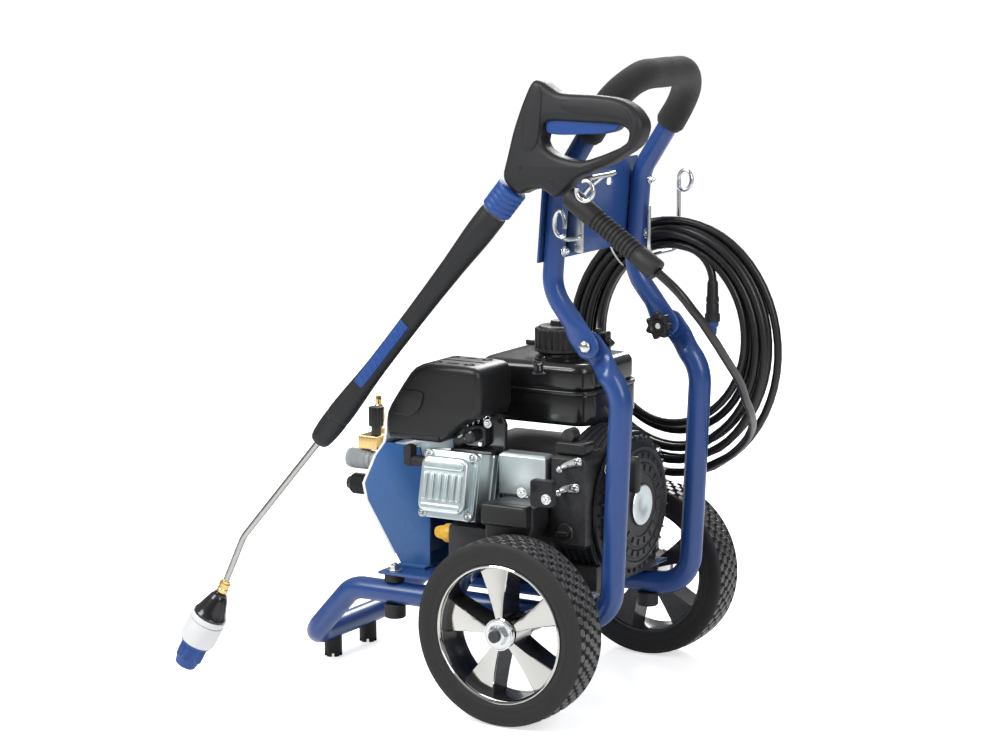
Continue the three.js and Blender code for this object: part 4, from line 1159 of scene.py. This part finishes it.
soften("crankcase", "dark cast iron", "chassis", 2.2, segments=3)
soften("cylinder_head", "cast aluminium", "chassis", 0.8)
soften("spark_plug_cap", "black rubber", "chassis", 1.5)
soften("carburettor", "cast aluminium", "chassis", 1.2)
soften("crankshaft", "bright zinc", "crank", 0.4)
soften("flywheel", "dark cast iron", "crank", 0.6)
CASE_BOLTS = ((84, 176), (-84, 176), (-78, 300), (84, 302))
bosses = [turned_raw([(0, -6), (8, -6), (8, 2), (7, 3), (0, 3)], (x, -148, z), FORWARD, 28)
          for x, z in CASE_BOLTS]
case_bolts = [nut_mesh((x, -151, z), FORWARD, 9, 4, False) for x, z in CASE_BOLTS]
settle("crankcase_bosses", joined(*bosses), "dark cast iron", "chassis", crease=28)
fasteners("crankcase_bolts", case_bolts, "chassis")
print("castings made")

# %% Valve cover
def cylinder_plate(outlines, low, high, edge):
    """A plate square to the cylinder; its outline is (down, y)."""
    return plate_mesh("cylinder", outlines, low, high, edge)


def rounded_box(a0, a1, b0, b1, radius, steps=5):
    points = []
    for ca, cb, start in ((a1 - radius, b1 - radius, 0), (a0 + radius, b1 - radius, 90),
                          (a0 + radius, b0 + radius, 180), (a1 - radius, b0 + radius, 270)):
        for k in range(steps + 1):
            t = math.radians(start + 90 * k / steps)
            points.append((ca + radius * math.cos(t), cb + radius * math.sin(t)))
    return points


COVER_BOLTS = ((-145, 40), (-74, 40), (-145, -40), (-74, -40))
cover = [cylinder_plate([rounded_box(-46, 46, -151, -68, 9)], 176.4, 183, 1.2),
         cylinder_plate([rounded_box(-38, 38, -146, -73, 12)], 182, 202, 4.5),
         cylinder_plate([rounded_box(-33, -20, -141, -78, 5)], 200, 206, 2.4)]
cover += [cylinder_plate([rounded_box(-16, 22, y - 3.4, y + 3.4, 3.2)], 200, 206.4, 2.2)
          for y in (-136, -125, -114, -103, -92, -82)]
cover += [cylinder_plate([rounded_box(26, 34, -141, -78, 3.5)], 200, 204.6, 1.6)]
cover += [turned_raw([(0, 180), (6.4, 180), (6.4, 187.4), (5.4, 188.4), (0, 188.4)],
                     on_cylinder(0, y, up), CYLINDER_OUT, 28) for y, up in COVER_BOLTS]
settle("valve_cover_cast", joined(*cover), "cast aluminium", "chassis", ("valve_cover",),
       crease=30)
fasteners("valve_cover_bolts",
          [nut_mesh(on_cylinder(188.4, y, up), CYLINDER_OUT, 8, 3.4, False)
           for y, up in COVER_BOLTS], "chassis")
head_fins = [plate_mesh("cylinder", [rounded_box(-45, 45, -149, -69, 3)],
                        98 + 11 * k, 101 + 11 * k, 0.8) for k in range(7)]
settle("cylinder_fins", joined(*head_fins), "cast aluminium", "chassis", crease=30)
print("valve cover parts:", len(cover))

# %% Dipstick
FILL_X, FILL_Z = 106, 222
stick = [turned_raw([(0, -26), (8.2, -26), (8.2, 0.4), (13, 0.4), (13.4, 2), (13.4, 10),
                     (12.6, 12), (9, 13), (8, 18), (0, 19)],
                    (FILL_X, -148, FILL_Z), FORWARD, 40),
         plate_mesh("x", [eased([(-158, FILL_Z - 11), (-158, FILL_Z + 11), (-176, FILL_Z + 8),
                                 (-178, FILL_Z), (-176, FILL_Z - 8)], 2)],
                    FILL_X - 3.6, FILL_X + 3.6, 1.6)]
settle("dipstick_cap", joined(*stick), "yellow plastic", "dipstick", ("dipstick",), crease=30)
print("dipstick made")

# %% [markdown]
# ## The black engine covers
# Four mouldings hide most of the engine: the muffler's guard, the air filter's tall cover, the
# fuel tank and the fan housing. Each is an outline carried across the machine with well rounded
# edges, and its recesses, slots and seams are real cuts, so that they shade as the real ones do.

# %% Muffler cover
muffler_outline = eased([(-230, 357), (-170, 357), (-137, 357), (-104, 388), (-77, 396), (-77, 450),
                         (-81, 462), (-92, 466), (-150, 466), (-168, 466), (-186, 457),
                         (-206, 430), (-227, 398), (-230, 384)], 1, 0.22)
muffler = plate_mesh("x", [muffler_outline], 62, 152, 9, 4)
cuts = [plate_mesh("z", [disc(8, x, y, 28), disc(3.6, x, y, 20)], 461, 480, 0.8)
        for x in (82, 130) for y in (-158, -106)]
cuts += [plate_mesh("z", [rounded_box(x - 3, x + 3, -142, -122, 2.5)], 461, 480, 0.8)
         for x in (82, 130)]
cuts += [plate_mesh("z", [rounded_box(103, 109, -168, -96, 2.5)], 459, 480, 0.8)]
muffler_cut = cut_away(muffler, *cuts)
patch = plate_mesh("x", [eased([(-214, 394), (-206, 398), (-208, 412), (-202, 427), (-166, 428),
                                (-168, 410), (-176, 398), (-190, 391)], 1, 0.2)], 148, 155.4, 1.8)
frame_line = plate_mesh("x", [rounded_box(-222, -142, 361, 366, 2)], 146, 153.2, 1.0)
settle("muffler_cover_shell", joined(muffler_cut, patch, frame_line), "moulded black plastic",
       "chassis", ("muffler_cover",), crease=30)
linkage = [plate_mesh("x", [eased([(-146, 340), (-62, 336), (-60, 396), (-96, 402), (-140, 372)],
                                  1, 0.2)], 104, 112, 1.5),
           plate_mesh("x", [rounded_box(-118, -84, 352, 384, 6)], 112, 126, 2.5),
           turned_raw([(0, 0), (9, 0), (9, 14), (6, 16), (0, 16)], (126, -101, 368), "x", 28),
           plate_mesh("x", [rounded_box(-136, -70, 344, 349, 2)], 112, 132, 1.2)]
settle("carburettor_linkage", joined(*linkage), "glossy black plastic", "chassis", crease=30)
spring = [Vector((128 + 3 * math.cos(t), -126 + 1.4 * t, 376 + 0.55 * t + 3 * math.sin(t)))
          for t in (2 * math.pi * k / 10 for k in range(61))]
linkage_bits = [raw(*tube_mesh(spring, round_section(0.8), 6)),
                nut_mesh((112, -134, 366), "x", 7, 4), nut_mesh((126, -90, 358), "x", 6, 4, False),
                nut_mesh((132, -76, 388), "x", 7, 4)]
settle("carburettor_bits", joined(*linkage_bits), "bright zinc", "chassis", crease=30)
print("muffler cover cuts:", len(cuts))

# %% Air filter cover
def rounded(mesh, width, segments=4):
    """A copy of a solid with its sharp edges rounded to a radius."""
    holder = bpy.data.objects.new("rounder", mesh)
    bpy.context.collection.objects.link(holder)
    step = holder.modifiers.new("rounding", "BEVEL")
    step.width, step.segments = width * MM, segments
    step.limit_method, step.angle_limit = "ANGLE", math.radians(26)
    step.use_clamp_overlap = False
    softer = bpy.data.meshes.new_from_object(
        holder.evaluated_get(bpy.context.evaluated_depsgraph_get()))
    bpy.data.objects.remove(holder)
    return softer


AIR_OUT = 200
air_outline = eased([(-66, 292), (-20, 292), (30, 292), (66, 292), (68, 340), (68, 440), (66, 454),
                     (56, 467), (20, 468), (-34, 468), (-41, 458), (-62, 413), (-66, 402),
                     (-66, 350)], 1, 0.2)
air = plate_mesh("x", [air_outline], 101, AIR_OUT, 0.2, 1)
slope = plate_mesh("y", [[(483, 146), (483, 240), (412, 240)]], -90, 100, 0.2)
relief_cut = plate_mesh("y", [[(270, 90), (358, 90), (358, 130), (270, 130)]], -90, 100, 0.5)
rear_cut = plate_mesh("z", [[(215, 28), (215, 110), (95, 110), (95, 69), (125, 64)]], 270, 480, 0.2)
air = rounded(cut_away(air, slope, rear_cut), 8)
lower_cut = plate_mesh("z", [[(90, 28), (172, 28), (172, 110), (90, 110)]], 270, 366, 0.4)
seat = plate_mesh("z", [disc(16.5, 147, 12, 40)], 464.5, 480, 1.2)
front_groove = plate_mesh("x", [[(-54, 300), (-52, 300), (-52, 398), (-28, 452), (-30, 453),
                                 (-54, 399)]], 196.8, 204, 0.3)
lower_panel = plate_mesh("x", [rounded_box(-38, 2, 306, 356, 4)], 198.8, 206, 0.6)
seam = plate_mesh("z", [[(90, 20), (210, 20), (210, 90), (90, 90)]], 371, 372.6, 0.3)
seam_core = plate_mesh("z", [[(96, 10), (198, 10), (198, 27), (124, 62), (96, 66)]], 370, 374, 0.3)
air_cut = cut_away(air, relief_cut, lower_cut, seat, front_groove, lower_panel,
                   cut_away(seam, seam_core))
tab = plate_mesh("x", [rounded_box(20, 54, 294, 331, 5)], 174, 186, 1.5)
settle("air_filter_shell", joined(air_cut, tab), "moulded black plastic", "chassis",
       ("air_filter_cover",), crease=30)
base = plate_mesh("x", [eased([(-56, 240), (-52, 236), (0, 236), (8, 240), (18, 262), (18, 292),
                               (-56, 292)], 1, 0.15)], 130, 176, 4, 3)
lower_box = plate_mesh("x", [rounded_box(-54, 16, 262, 292, 5)], 170, 192, 4)
settle("air_filter_box", joined(base, lower_box), "moulded black plastic", "chassis",
       ("air_filter_base",), crease=30)
air_bolts = []
for x, y, z in ((AIR_OUT, 16, 315), (186, 45, 306)):
    air_bolts += [turned_raw([(0, 0), (7, 0), (7.4, 0.6), (7, 1.6), (0, 1.6)], (x - 0.4, y, z),
                             "x"),
                  nut_mesh((x + 0.8, y, z), "x", 8.5, 4, False)]
fasteners("air_filter_bolts", air_bolts, "chassis")
print("air filter cover made")

# %% Wing nut
WING = (147, 12, 466.3)
wing_outline = [(2, 2.5), (3, 8), (12, 13), (20, 17), (20.5, 13), (17, 9), (11, 4)]
wings = [plate_mesh("y", [eased([(WING[2] + up, WING[0] + s * out)
                                 for up, out in wing_outline], 2)], 10.2, 13.8, 1.2)
         for s in (1, -1)]
wing_hub = turned_raw([(0, 0), (9, 0), (9, 1), (6.6, 2.4), (5.6, 11), (4.6, 12.4), (0, 12.4)],
                      WING, "z", 32)
settle("wing_nut_moulded", joined(wing_hub, *wings), "glossy black plastic", "wing_nut",
       ("wing_nut",), crease=30)

# %% Fuel tank and cap
CAP = (-15, -46)
tank_outline = rounded_box(-112, 45, -150, 30, 26, 8)
tank_low = plate_mesh("z", [tank_outline], 376, 424, 7, 3)
tank_high = plate_mesh("z", [rounded_box(-110, 43, -148, 28, 26, 8)], 420, 462, 13, 5)
tank_rim = plate_mesh("z", [rounded_box(-113.6, 46.6, -151.6, 31.6, 27, 8)], 419, 425, 1.6)
neck = turned_raw([(0, 458), (40, 458), (34, 463), (30, 464), (30, 468), (26, 469.6), (0, 469.6)],
                  (*CAP, 0), "z", 64)
settle("fuel_tank_shell", joined(tank_low, tank_high, tank_rim, neck), "glossy black plastic",
       "chassis", ("fuel_tank",), crease=30)
cap_side = plate_mesh("z", [disc(34.6, *CAP, 180, 24, 0.9)], 473, 503, 2.4)
cap_skirt = turned_raw([(0, 470.4), (35, 470.4), (36, 471.4), (36, 474.4), (34.6, 475.4), (0, 476)],
                       (*CAP, 0), "z", 72)
cap_top = turned_raw([(0, 501), (31, 501), (31, 503.4), (29, 506), (17, 506.6), (14, 507.4),
                      (13.4, 512), (12, 513), (0, 513)], (*CAP, 0), "z", 64)
cap_lever = plate_mesh("z", [eased([(-19, -72), (-11, -72), (-10, -94), (-13, -101), (-17, -101),
                                    (-20, -94)], 2)], 474.6, 481.6, 1.4)
settle("fuel_cap_lobed", joined(cap_side, cap_skirt, cap_top, cap_lever), "moulded black plastic",
       "fuel_cap", ("fuel_cap",), crease=30)
print("tank and cap made")

# %% [markdown]
# ## Fan housing and recoil starter
# The fan housing is a black drum behind the engine, closed by the starter's cover. The cover is a
# turned disc with rings of raised ribs and a bright centre. The radial ribs repeat round the axis,
# so they reuse the tread's tree with another layout, which turns copies about the Y axis.

# %% Fan housing
FAN_X = 8
soften("fan_housing", "moulded black plastic", "chassis", 1.6, segments=3)


def ring_layout(sum_of, index, given):
    """Copies evenly round the Y axis, each turned to point outwards."""
    angle = sum_of("ADD", sum_of("MULTIPLY", sum_of("DIVIDE", index, given["Count"]),
                                 2 * math.pi), given["First"])
    return (given["Count"], {"X": sum_of("MULTIPLY", given["Radius"], sum_of("COSINE", angle)),
                             "Z": sum_of("MULTIPLY", given["Radius"], sum_of("SINE", angle))},
            {"Y": sum_of("MULTIPLY", angle, -1.0)})


RINGS = repeating_tree("copies round an axis", [
    ("Count", "NodeSocketInt", None), ("Radius", "NodeSocketFloat", None),
    ("First", "NodeSocketFloat", None)], ring_layout)


def rib_part(length, width, tall):
    """A small rounded rib along X, standing up along +Y."""
    mesh = plate_mesh("z", [rounded_box(-length / 2, length / 2, -1.0, tall, 0.9, 2)],
                      -width / 2, width / 2, 0.5, 1)
    back = metres((0, 0, 0))
    for vertex in mesh.vertices:
        vertex.co -= back
    return bpy.data.objects.new("rib_part", mesh)


def rib_ring(count, radius, length, width, tall, depth, first=0.0):
    part = rib_part(length, width, tall)
    mesh = grown(RINGS, Part=part, Count=count, Radius=radius * MM, First=first,
                 Material=FINISHES["moulded black plastic"])
    bpy.data.objects.remove(part)
    return moved(mesh, FAN_X, depth, CRANK_Z)


cover_rows = [(0, 72.3), (100, 72.3), (101, 74), (100, 77.4), (94, 80), (92, 84), (84, 90.4),
              (80, 92), (78, 90.6), (75, 90.6), (73, 92.6), (64, 93.6), (62, 92.2), (59, 92.2),
              (57, 94), (44, 95), (43, 93.4), (30, 93.4), (29, 95.4), (0, 95.4)]
recoil = turned_raw(cover_rows, (FAN_X, 0, CRANK_Z), "y", 96)
ribs = [rib_ring(36, 88, 15, 3.0, 4.0, 83), rib_ring(24, 68, 8, 2.6, 2.2, 92.6, 0.1),
        rib_ring(18, 51, 9, 2.6, 2.0, 94.2)]
settle("recoil_cover_ribbed", joined(recoil, *ribs), "moulded black plastic", "chassis",
       ("recoil_cover",), crease=30)
turned("recoil_disc", [(0, 95), (27, 95), (28, 95.8), (27, 97), (12, 97.4), (10, 96.6), (0, 96.6)],
       (FAN_X, 0, CRANK_Z), "y", "cast aluminium", "chassis", sides=64)
drum_ribs = [turned_raw([(105.2, 0), (107.4, 0.6), (107.4, 3.4), (105.2, 4), (105.2, 0)],
                        (FAN_X, y, CRANK_Z), "y", 96) for y in (26, 36, 46, 56, 66)]
settle("fan_drum_rings", joined(*drum_ribs), "moulded black plastic", "chassis", crease=30)
cover_bolts = [nut_mesh((FAN_X + 96 * math.cos(a), 79.4, CRANK_Z + 96 * math.sin(a)), "y", 8, 4)
               for a in (math.radians(d) for d in (40, 140, 220, 320))]
fasteners("recoil_bolts", cover_bolts, "chassis")
grip_stem = turned_raw([(0, 93.5), (6, 93.5), (5, 100), (6, 112), (0, 112)], (68, 0, 325), "y", 24)
grip_bar = plate_mesh("y", [eased([(300, 60), (350, 60), (350, 76), (300, 76)], 3, 0.2)],
                      108, 122, 4)
settle("starter_grip_moulded", joined(grip_stem, grip_bar), "soft black grip plastic",
       "starter_grip", ("starter_grip",), crease=30)
print("fan housing and starter made")

# %% [markdown]
# ## Engine controls
# Thin zinc levers with bright rod tips stand beside the fan housing, with a black bracket behind
# them and a switch knob below.

# %% Controls
def lever_mesh(y, z, length, lift):
    arm = plate_mesh("x", [eased([(y - 6, z - 6), (y + 6, z - 6), (y + 6, z + 6), (y - 2, z + 6),
                                  (y - length - 4, z + lift + 4), (y - length - 4, z + lift - 4)],
                                 1)], 128.4, 131.2, 0.6)
    rod = turned_raw([(0, -1), (3.2, -1), (3.2, 8), (4.4, 8.6), (4.4, 11.4), (3, 12.2), (0, 12.2)],
                     (131, y - length, z + lift - 2), "x", 24)
    pivot = dome_mesh((131, y, z), "x", 5.2, 3)
    return joined(arm, rod, pivot)


settle("throttle_lever_pressed", lever_mesh(62, 348, 22, -9), "bright zinc", "throttle",
       ("throttle_lever",), crease=28)
settle("choke_lever_pressed", lever_mesh(58, 312, 20, -5), "bright zinc", "choke",
       ("choke_lever",), crease=28)
switch = [turned_raw([(0, 128.4), (13, 128.4), (13, 134), (11.6, 136), (0, 136)], (0, 44, 250),
                     "x", 40),
          plate_mesh("x", [rounded_box(34, 54, 246.6, 253.4, 3)], 134, 144, 1.2)]
settle("engine_switch_knob", joined(*switch), "moulded black plastic", "engine_switch",
       ("engine_switch",), crease=28)
bracket = [plate_mesh("x", [rounded_box(24, 70, 356, 372, 5)], 96, 127, 3),
           turned_raw([(0, 100), (9, 100), (9, 118), (0, 118)], (0, 40, 380), "x", 32)]
settle("control_bracket", joined(*bracket), "moulded black plastic", "chassis", crease=30)
print("controls made")

# %% [markdown]
# ## The spray gun
# The gun's body is a closed D-shaped handle moulded in black, with a blue trigger inside it and a
# blue ringed collar below. Its outline is eased into smooth curves and given broad round edges.
# Raised grip pads stand on both its flanks, as on the real moulding.

# %% Gun body
def on_both_flanks(plane, outline, low, high, edge, steps=3):
    """The same raised pad on either side of a plane."""
    return [plate_mesh(plane, [outline], *span, edge, steps)
            for span in ((low, high), (-high, -low))]


gun_outline = eased([(20, 1), (34, 0), (47, -8), (60, -15), (84, -16), (110, -16), (148, -19),
                     (171, -30), (186, -50), (179, -76), (158, -90), (136, -104), (92, -121),
                     (78, -134), (60, -152), (39, -138), (20, -141), (4, -149), (-21, -130),
                     (-13, -98), (-6, -66), (6, -31)], 2, 0.22)
gun_hole = eased([(37, -50), (92, -51), (150, -52), (165, -60), (162, -77), (130, -91), (97, -102),
                  (60, -96), (37, -82)], 2, 0.2)
gun_body = plate_mesh("gun", [gun_outline, gun_hole], -17, 17, 8.5, 5)
pocket = plate_mesh("gun", [rounded_box(40, 146, -60, -37, 3)], -9.6, 9.6, 1)
gun_cut = cut_away(gun_body, pocket)
pads = on_both_flanks("gun", eased([(26, -6), (38, -8), (38, -40), (34, -84), (22, -92),
                                    (10, -88), (12, -44)], 2), 14, 18.4, 1.5)
pads += on_both_flanks("gun", eased([(66, -22), (142, -25), (164, -34), (172, -50), (160, -48),
                                     (148, -42), (66, -40)], 2), 14.5, 17.9, 1.2)
gun_screws = [turned_raw([(0, 0), (3.4, 0), (3.4, 1), (2.2, 1.2), (1.6, 0.4), (0, 0.4)],
                         on_gun(p, q, 16.8), GUN_OUT, 20)
              for p, q in ((8, -112), (56, -128), (30, -14))]
settle("gun_body_moulded", joined(gun_cut, *pads), "soft black grip plastic", "gun",
       ("gun_body",), crease=30)
settle("gun_screws", joined(*gun_screws), "black rubber", "gun", crease=28)
trigger_outline = eased([(41, -45), (90, -45), (145, -46), (150, -53), (142, -61), (118, -66),
                         (90, -67), (60, -69), (40, -67)], 2, 0.2)
plate("trigger_moulded", "gun", [trigger_outline], -9, 9, 2.6, "blue plastic", "trigger",
      ("trigger",), crease=30)
print("gun body made")

# %% [markdown]
# The collar, the sleeve and the bend protector are all turned shapes along slanting lines of the
# gun's plane, so one helper turns a profile from one point of that plane towards another.

# %% Collar, sleeve and lance
def along_gun(start, end):
    a, b = on_gun(*start), on_gun(*end)
    return a, (b - a).normalized()


def gun_turned_raw(start, end, rows, sides=48):
    place, heading = along_gun(start, end)
    return turned_raw(rows, place, heading, sides)


COLLAR_TOP, COLLAR_END = (-9.7, -140), (-37, -174)
SLEEVE_END, LANCE_BEND, NIPPLE, TIP = (-307, -504), (-430, -650), (-466, -733), (-531, -851)
COLLAR_RINGS, RING_PITCH = 5, 7.6
collar_rows = [(0, 0.8), (18, 0.8)]
for ring in range(COLLAR_RINGS):
    collar_rows += [(radius, height + RING_PITCH * ring) for radius, height in
                    ((20.7, 1.8), (21, 2.6), (21, 7.2), (20.7, 8.0), (20.1, 8.6))]
settle("gun_collar_ringed", gun_turned_raw(COLLAR_TOP, COLLAR_END, collar_rows + [(0, 39.4)]),
       "blue plastic", "gun", ("gun_collar",), crease=26)
sleeve_rows = [(0, 0.5), (17.4, 0.5), (18.6, 1.6), (19, 6), (19, 30), (18.6, 44), (17.2, 70),
               (15.8, 96), (14.6, 140), (13.8, 190), (13.6, 240), (13.8, 280), (14.8, 310),
               (16.2, 334), (17.2, 356), (17.5, 372), (17.3, 376), (16.6, 377), (16.6, 379),
               (17.3, 380), (17.2, 392), (16.6, 404), (15.6, 414), (14.2, 421), (12.4, 424),
               (0, 424)]
settle("lance_sleeve_moulded", gun_turned_raw(COLLAR_END, SLEEVE_END, sleeve_rows, 64),
       "soft black grip plastic", "gun", ("lance_sleeve",), crease=34)
sleeve_start, sleeve_heading = along_gun(COLLAR_END, SLEEVE_END)
sleeve_side = sleeve_heading.cross(GUN_OUT).normalized()
PLANES["sleeve"] = (sleeve_heading, sleeve_side, GUN_OUT * -1, sleeve_start)


def sleeve_inlay():
    """A blue pad let into both flanks of the sleeve, with ribs across it."""
    parts = on_both_flanks("sleeve", rounded_box(200, 314, -8, 8, 2), 8, 15.4, 1.2)
    for place in (208 + 10.8 * k for k in range(10)):
        rib = rounded_box(place - 2.4, place + 2.4, -6, 6, 2)
        parts += on_both_flanks("sleeve", rib, 12, 16.4, 1.0, 2)
    return joined(*parts)


settle("lance_sleeve_inlay", sleeve_inlay(), "blue plastic", "gun", crease=30)
lance_start = on_gun(*SLEEVE_END) + sleeve_heading * -3
lance_line = bent_line([lance_start, on_gun(*LANCE_BEND), on_gun(*NIPPLE)], 60, steps=14)
tube("lance_tube_bent", lance_line, 4.5, "satin steel", "gun", ("lance_tube",), sides=28)
settle("lance_nipple", gun_turned_raw((-458, -715), NIPPLE, [
    (0, 0), (5.6, 0), (6.6, 1), (6.6, 4), (8, 5), (8, 9), (7.2, 10), (7.2, 13), (8, 14),
    (8, 18.6), (0, 18.6)], 32), "turned brass", "gun", crease=28)
print("lance made")

# %% [markdown]
# ## The nozzle
# A black cone, a white ring and a blue fluted cap. The cap turns to change the jet, and the white
# skirt turns with it, while the narrow ring above them stays still. Both white parts are plain.

# %% Nozzle
settle("nozzle_cone", gun_turned_raw(NIPPLE, TIP, [
    (0, 0.6), (9, 0.6), (9.6, 1.6), (9.8, 5), (12.4, 8), (14, 12), (19.6, 28), (22.4, 36),
    (24, 38), (24, 42), (0, 42)], 64), "glossy black plastic", "gun", ("nozzle_body",), crease=30)
settle("nozzle_white_ring", gun_turned_raw(NIPPLE, TIP, [
    (0, 41), (24.6, 41), (25.4, 42), (25.4, 49.2), (24.8, 49.9), (0, 49.9)], 64),
       "white plastic", "gun", crease=30)
settle("nozzle_white_skirt", gun_turned_raw(NIPPLE, TIP, [
    (0, 50.6), (25.2, 50.6), (26, 51.4), (26, 80), (24.6, 86), (0, 87)], 64),
       "white plastic", "nozzle", crease=30)
place, heading = along_gun(NIPPLE, TIP)
cap_side, cap_other = square_to(heading)
PLANES["nozzle"] = (cap_side, cap_other, heading, place)
cap_parts = [gun_turned_raw(NIPPLE, TIP, [(0, 85), (22.4, 85), (22.4, 90), (19, 93), (0, 93)], 64),
             plate_mesh("nozzle", [disc(18.6, 0, 0, 160, 8, 1.7)], 88, 116, 3.0, 4),
             gun_turned_raw(NIPPLE, TIP, [(0, 112), (17.4, 112), (17, 120), (15.4, 127.4),
                                          (14, 128), (8, 128), (7.4, 127), (7.4, 119), (0, 119)],
                            48)]
settle("nozzle_cap_fluted", joined(*cap_parts), "blue plastic", "nozzle", ("nozzle_cap",),
       crease=30)
print("nozzle made")

# %% [markdown]
# ## The bend protector
# A black rubber sleeve keeps the hose from kinking where it leaves the gun: smooth at both ends,
# and ribbed between, so that it bends evenly.

# %% Bend protector
GUARD_RIBS, RIB_PITCH = 12, 6.3
guard_rows = [(0, 0), (12, 0), (14, 1), (14.5, 4), (14.5, 44), (14, 50)]
for k in range(GUARD_RIBS):
    guard_rows += [(radius, height + RIB_PITCH * k) for radius, height in
                   ((11.8, 51.6), (11.8, 53.4), (13.6, 54.4), (13.6, 56.8))]
guard_rows += [(13.6, 129), (14.5, 131), (14.5, 155), (14, 158.4), (10, 160), (6.6, 160),
               (6.6, 156), (0, 156)]
settle("bend_protector_ribbed", gun_turned_raw((74, -147), (208, -238), guard_rows, 48),
       "black rubber", "gun", ("bend_protector",), crease=34)
print("protector ribs:", GUARD_RIBS)

# %% [markdown]
# ## Hooks and the hook plate
# The gun and the hose hang on bent zinc wire. A folded blue plate with small slots joins the
# handle's sides, and a zinc strip carries the gun's two hooks.

# %% Hooks
WIRE_R = 3.0


def eye_points(centre, radius, tall, first, count=16, drift=7):
    """The ring at a hook's end: the wire runs once round, moving sideways to pass itself."""
    return [Vector((centre[0] + i * drift / count,
                    centre[1] + radius * math.cos(first - i * 1.75 * math.pi / count),
                    centre[2] + tall * math.sin(first - i * 1.75 * math.pi / count)))
            for i in range(count + 1)]


def wire_raw(points):
    return raw(*tube_mesh(curved_line(points, 5), round_section(WIRE_R), 14))


upper_hook = wire_raw([(98, 44, 690), (98, 62, 712), (98, 88, 731), (104, 102, 734),
                       (120, 104, 733), (160, 104, 733), (192, 106, 732),
                       *eye_points((198, 112, 719), 11, 13, math.pi * 0.65)])
lower_hook = wire_raw([(98, 46, 644), (110, 44, 644), (126, 44, 645), (138, 43, 648),
                       *eye_points((139, 42, 667), 9, 17, -math.pi * 0.35)])
strip = plate_mesh("x", [rounded_box(17, 52, 624, 698, 4)], 95, 99, 0.6)
settle("gun_hooks_bent", joined(strip, upper_hook, lower_hook), "bright zinc", "handle",
       ("gun_hooks",), crease=30)
hose_hook = wire_raw([(-112, 42, 668), (-112, 42, 640), (-112, 42, 612), (-117, 41, 599),
                      (-130, 38, 596), (-160, 37, 596), (-190, 37, 596), (-205, 38, 600),
                      (-208, 39, 614), (-208, 40, 650), (-208, 40, 680),
                      *eye_points((-208, 51, 696), 11, 14, math.pi)])
settle("hose_hook_bent", hose_hook, "bright zinc", "handle", ("hose_hook",), crease=30)
print("hooks bent")

# %% Hook plate
def tube_middle(z):
    """Where the middle of the leaning handle tubes lies along Y at a height."""
    return 15.8 + (z - 574.2) * 0.08017


def plate_front(z):
    """Where the plate's rear face lies: just ahead of the leaning tubes."""
    return tube_middle(z) - 14.3


sheet_line = [(plate_front(612), 612), (plate_front(716), 716), (plate_front(716), 736)]
sheet = plate_mesh("x", [[(y - 3, z) for y, z in sheet_line] + sheet_line[::-1]], -134, 134, 0.8)
slots = [plate_mesh("y", [rounded_box(z - 5, z + 5, x - 9, x + 9, 4)], -30, 60, 0.4)
         for x, z in ((52, 706), (52, 640), (-52, 706), (-52, 640))]
settle("hook_plate_slotted", cut_away(sheet, *slots), "blue powder coat", "handle",
       ("hook_plate",), crease=30)
fasteners("plate_bolts", [nut_mesh((x, tube_middle(z) + 13.6, z), "y", 8, 5)
                          for x in (TRACK, -TRACK) for z in (628, 704)], "handle")
print("plate slots:", len(slots))

# %% [markdown]
# ## Star knobs
# Each pivot bolt is tightened by a black knob with seven lobes. Its outline is a circle with a
# wave in it, and its centre is sunk round the brass thread.

# %% Star knobs
for side, s in SIDES:
    spread = (78.5, 93.5) if s > 0 else (-93.5, -78.5)
    star = plate_mesh("x", [disc(17.2, PIVOT.y, PIVOT.z, 140, 7, 2.3)], *spread, 3.2, 4)
    bore = turned_raw([(0, -3), (4.5, -3), (4.5, 30), (0, 30)],
                      (s * 82, PIVOT.y, PIVOT.z), Vector((s, 0, 0)), 24)
    dish = turned_raw([(0, 0), (9, 0), (11.4, 2.4), (0, 2.4)],
                      (s * 80.6, PIVOT.y, PIVOT.z), Vector((-s, 0, 0)), 40)
    stem = turned_raw([(4.5, 0), (9, 0), (9, 10.4), (10.4, 11.4), (10.4, 14), (4.5, 14), (4.5, 0)],
                      (s * 104.1, PIVOT.y, PIVOT.z), Vector((-s, 0, 0)), 40)
    insert = turned_raw([(4.5, 0), (6.4, 0), (6.4, 2), (4.5, 2), (4.5, 0)],
                        (s * 83, PIVOT.y, PIVOT.z), Vector((-s, 0, 0)), 32)
    settle(f"star_knob_{side}_lobed", joined(cut_away(star, bore, dish), stem),
           "moulded black plastic", f"{side}_knob", (f"star_knob_{side}",), crease=32)
    settle(f"star_knob_{side}_insert", insert, "turned brass", f"{side}_knob", crease=28)
print("star knobs made")
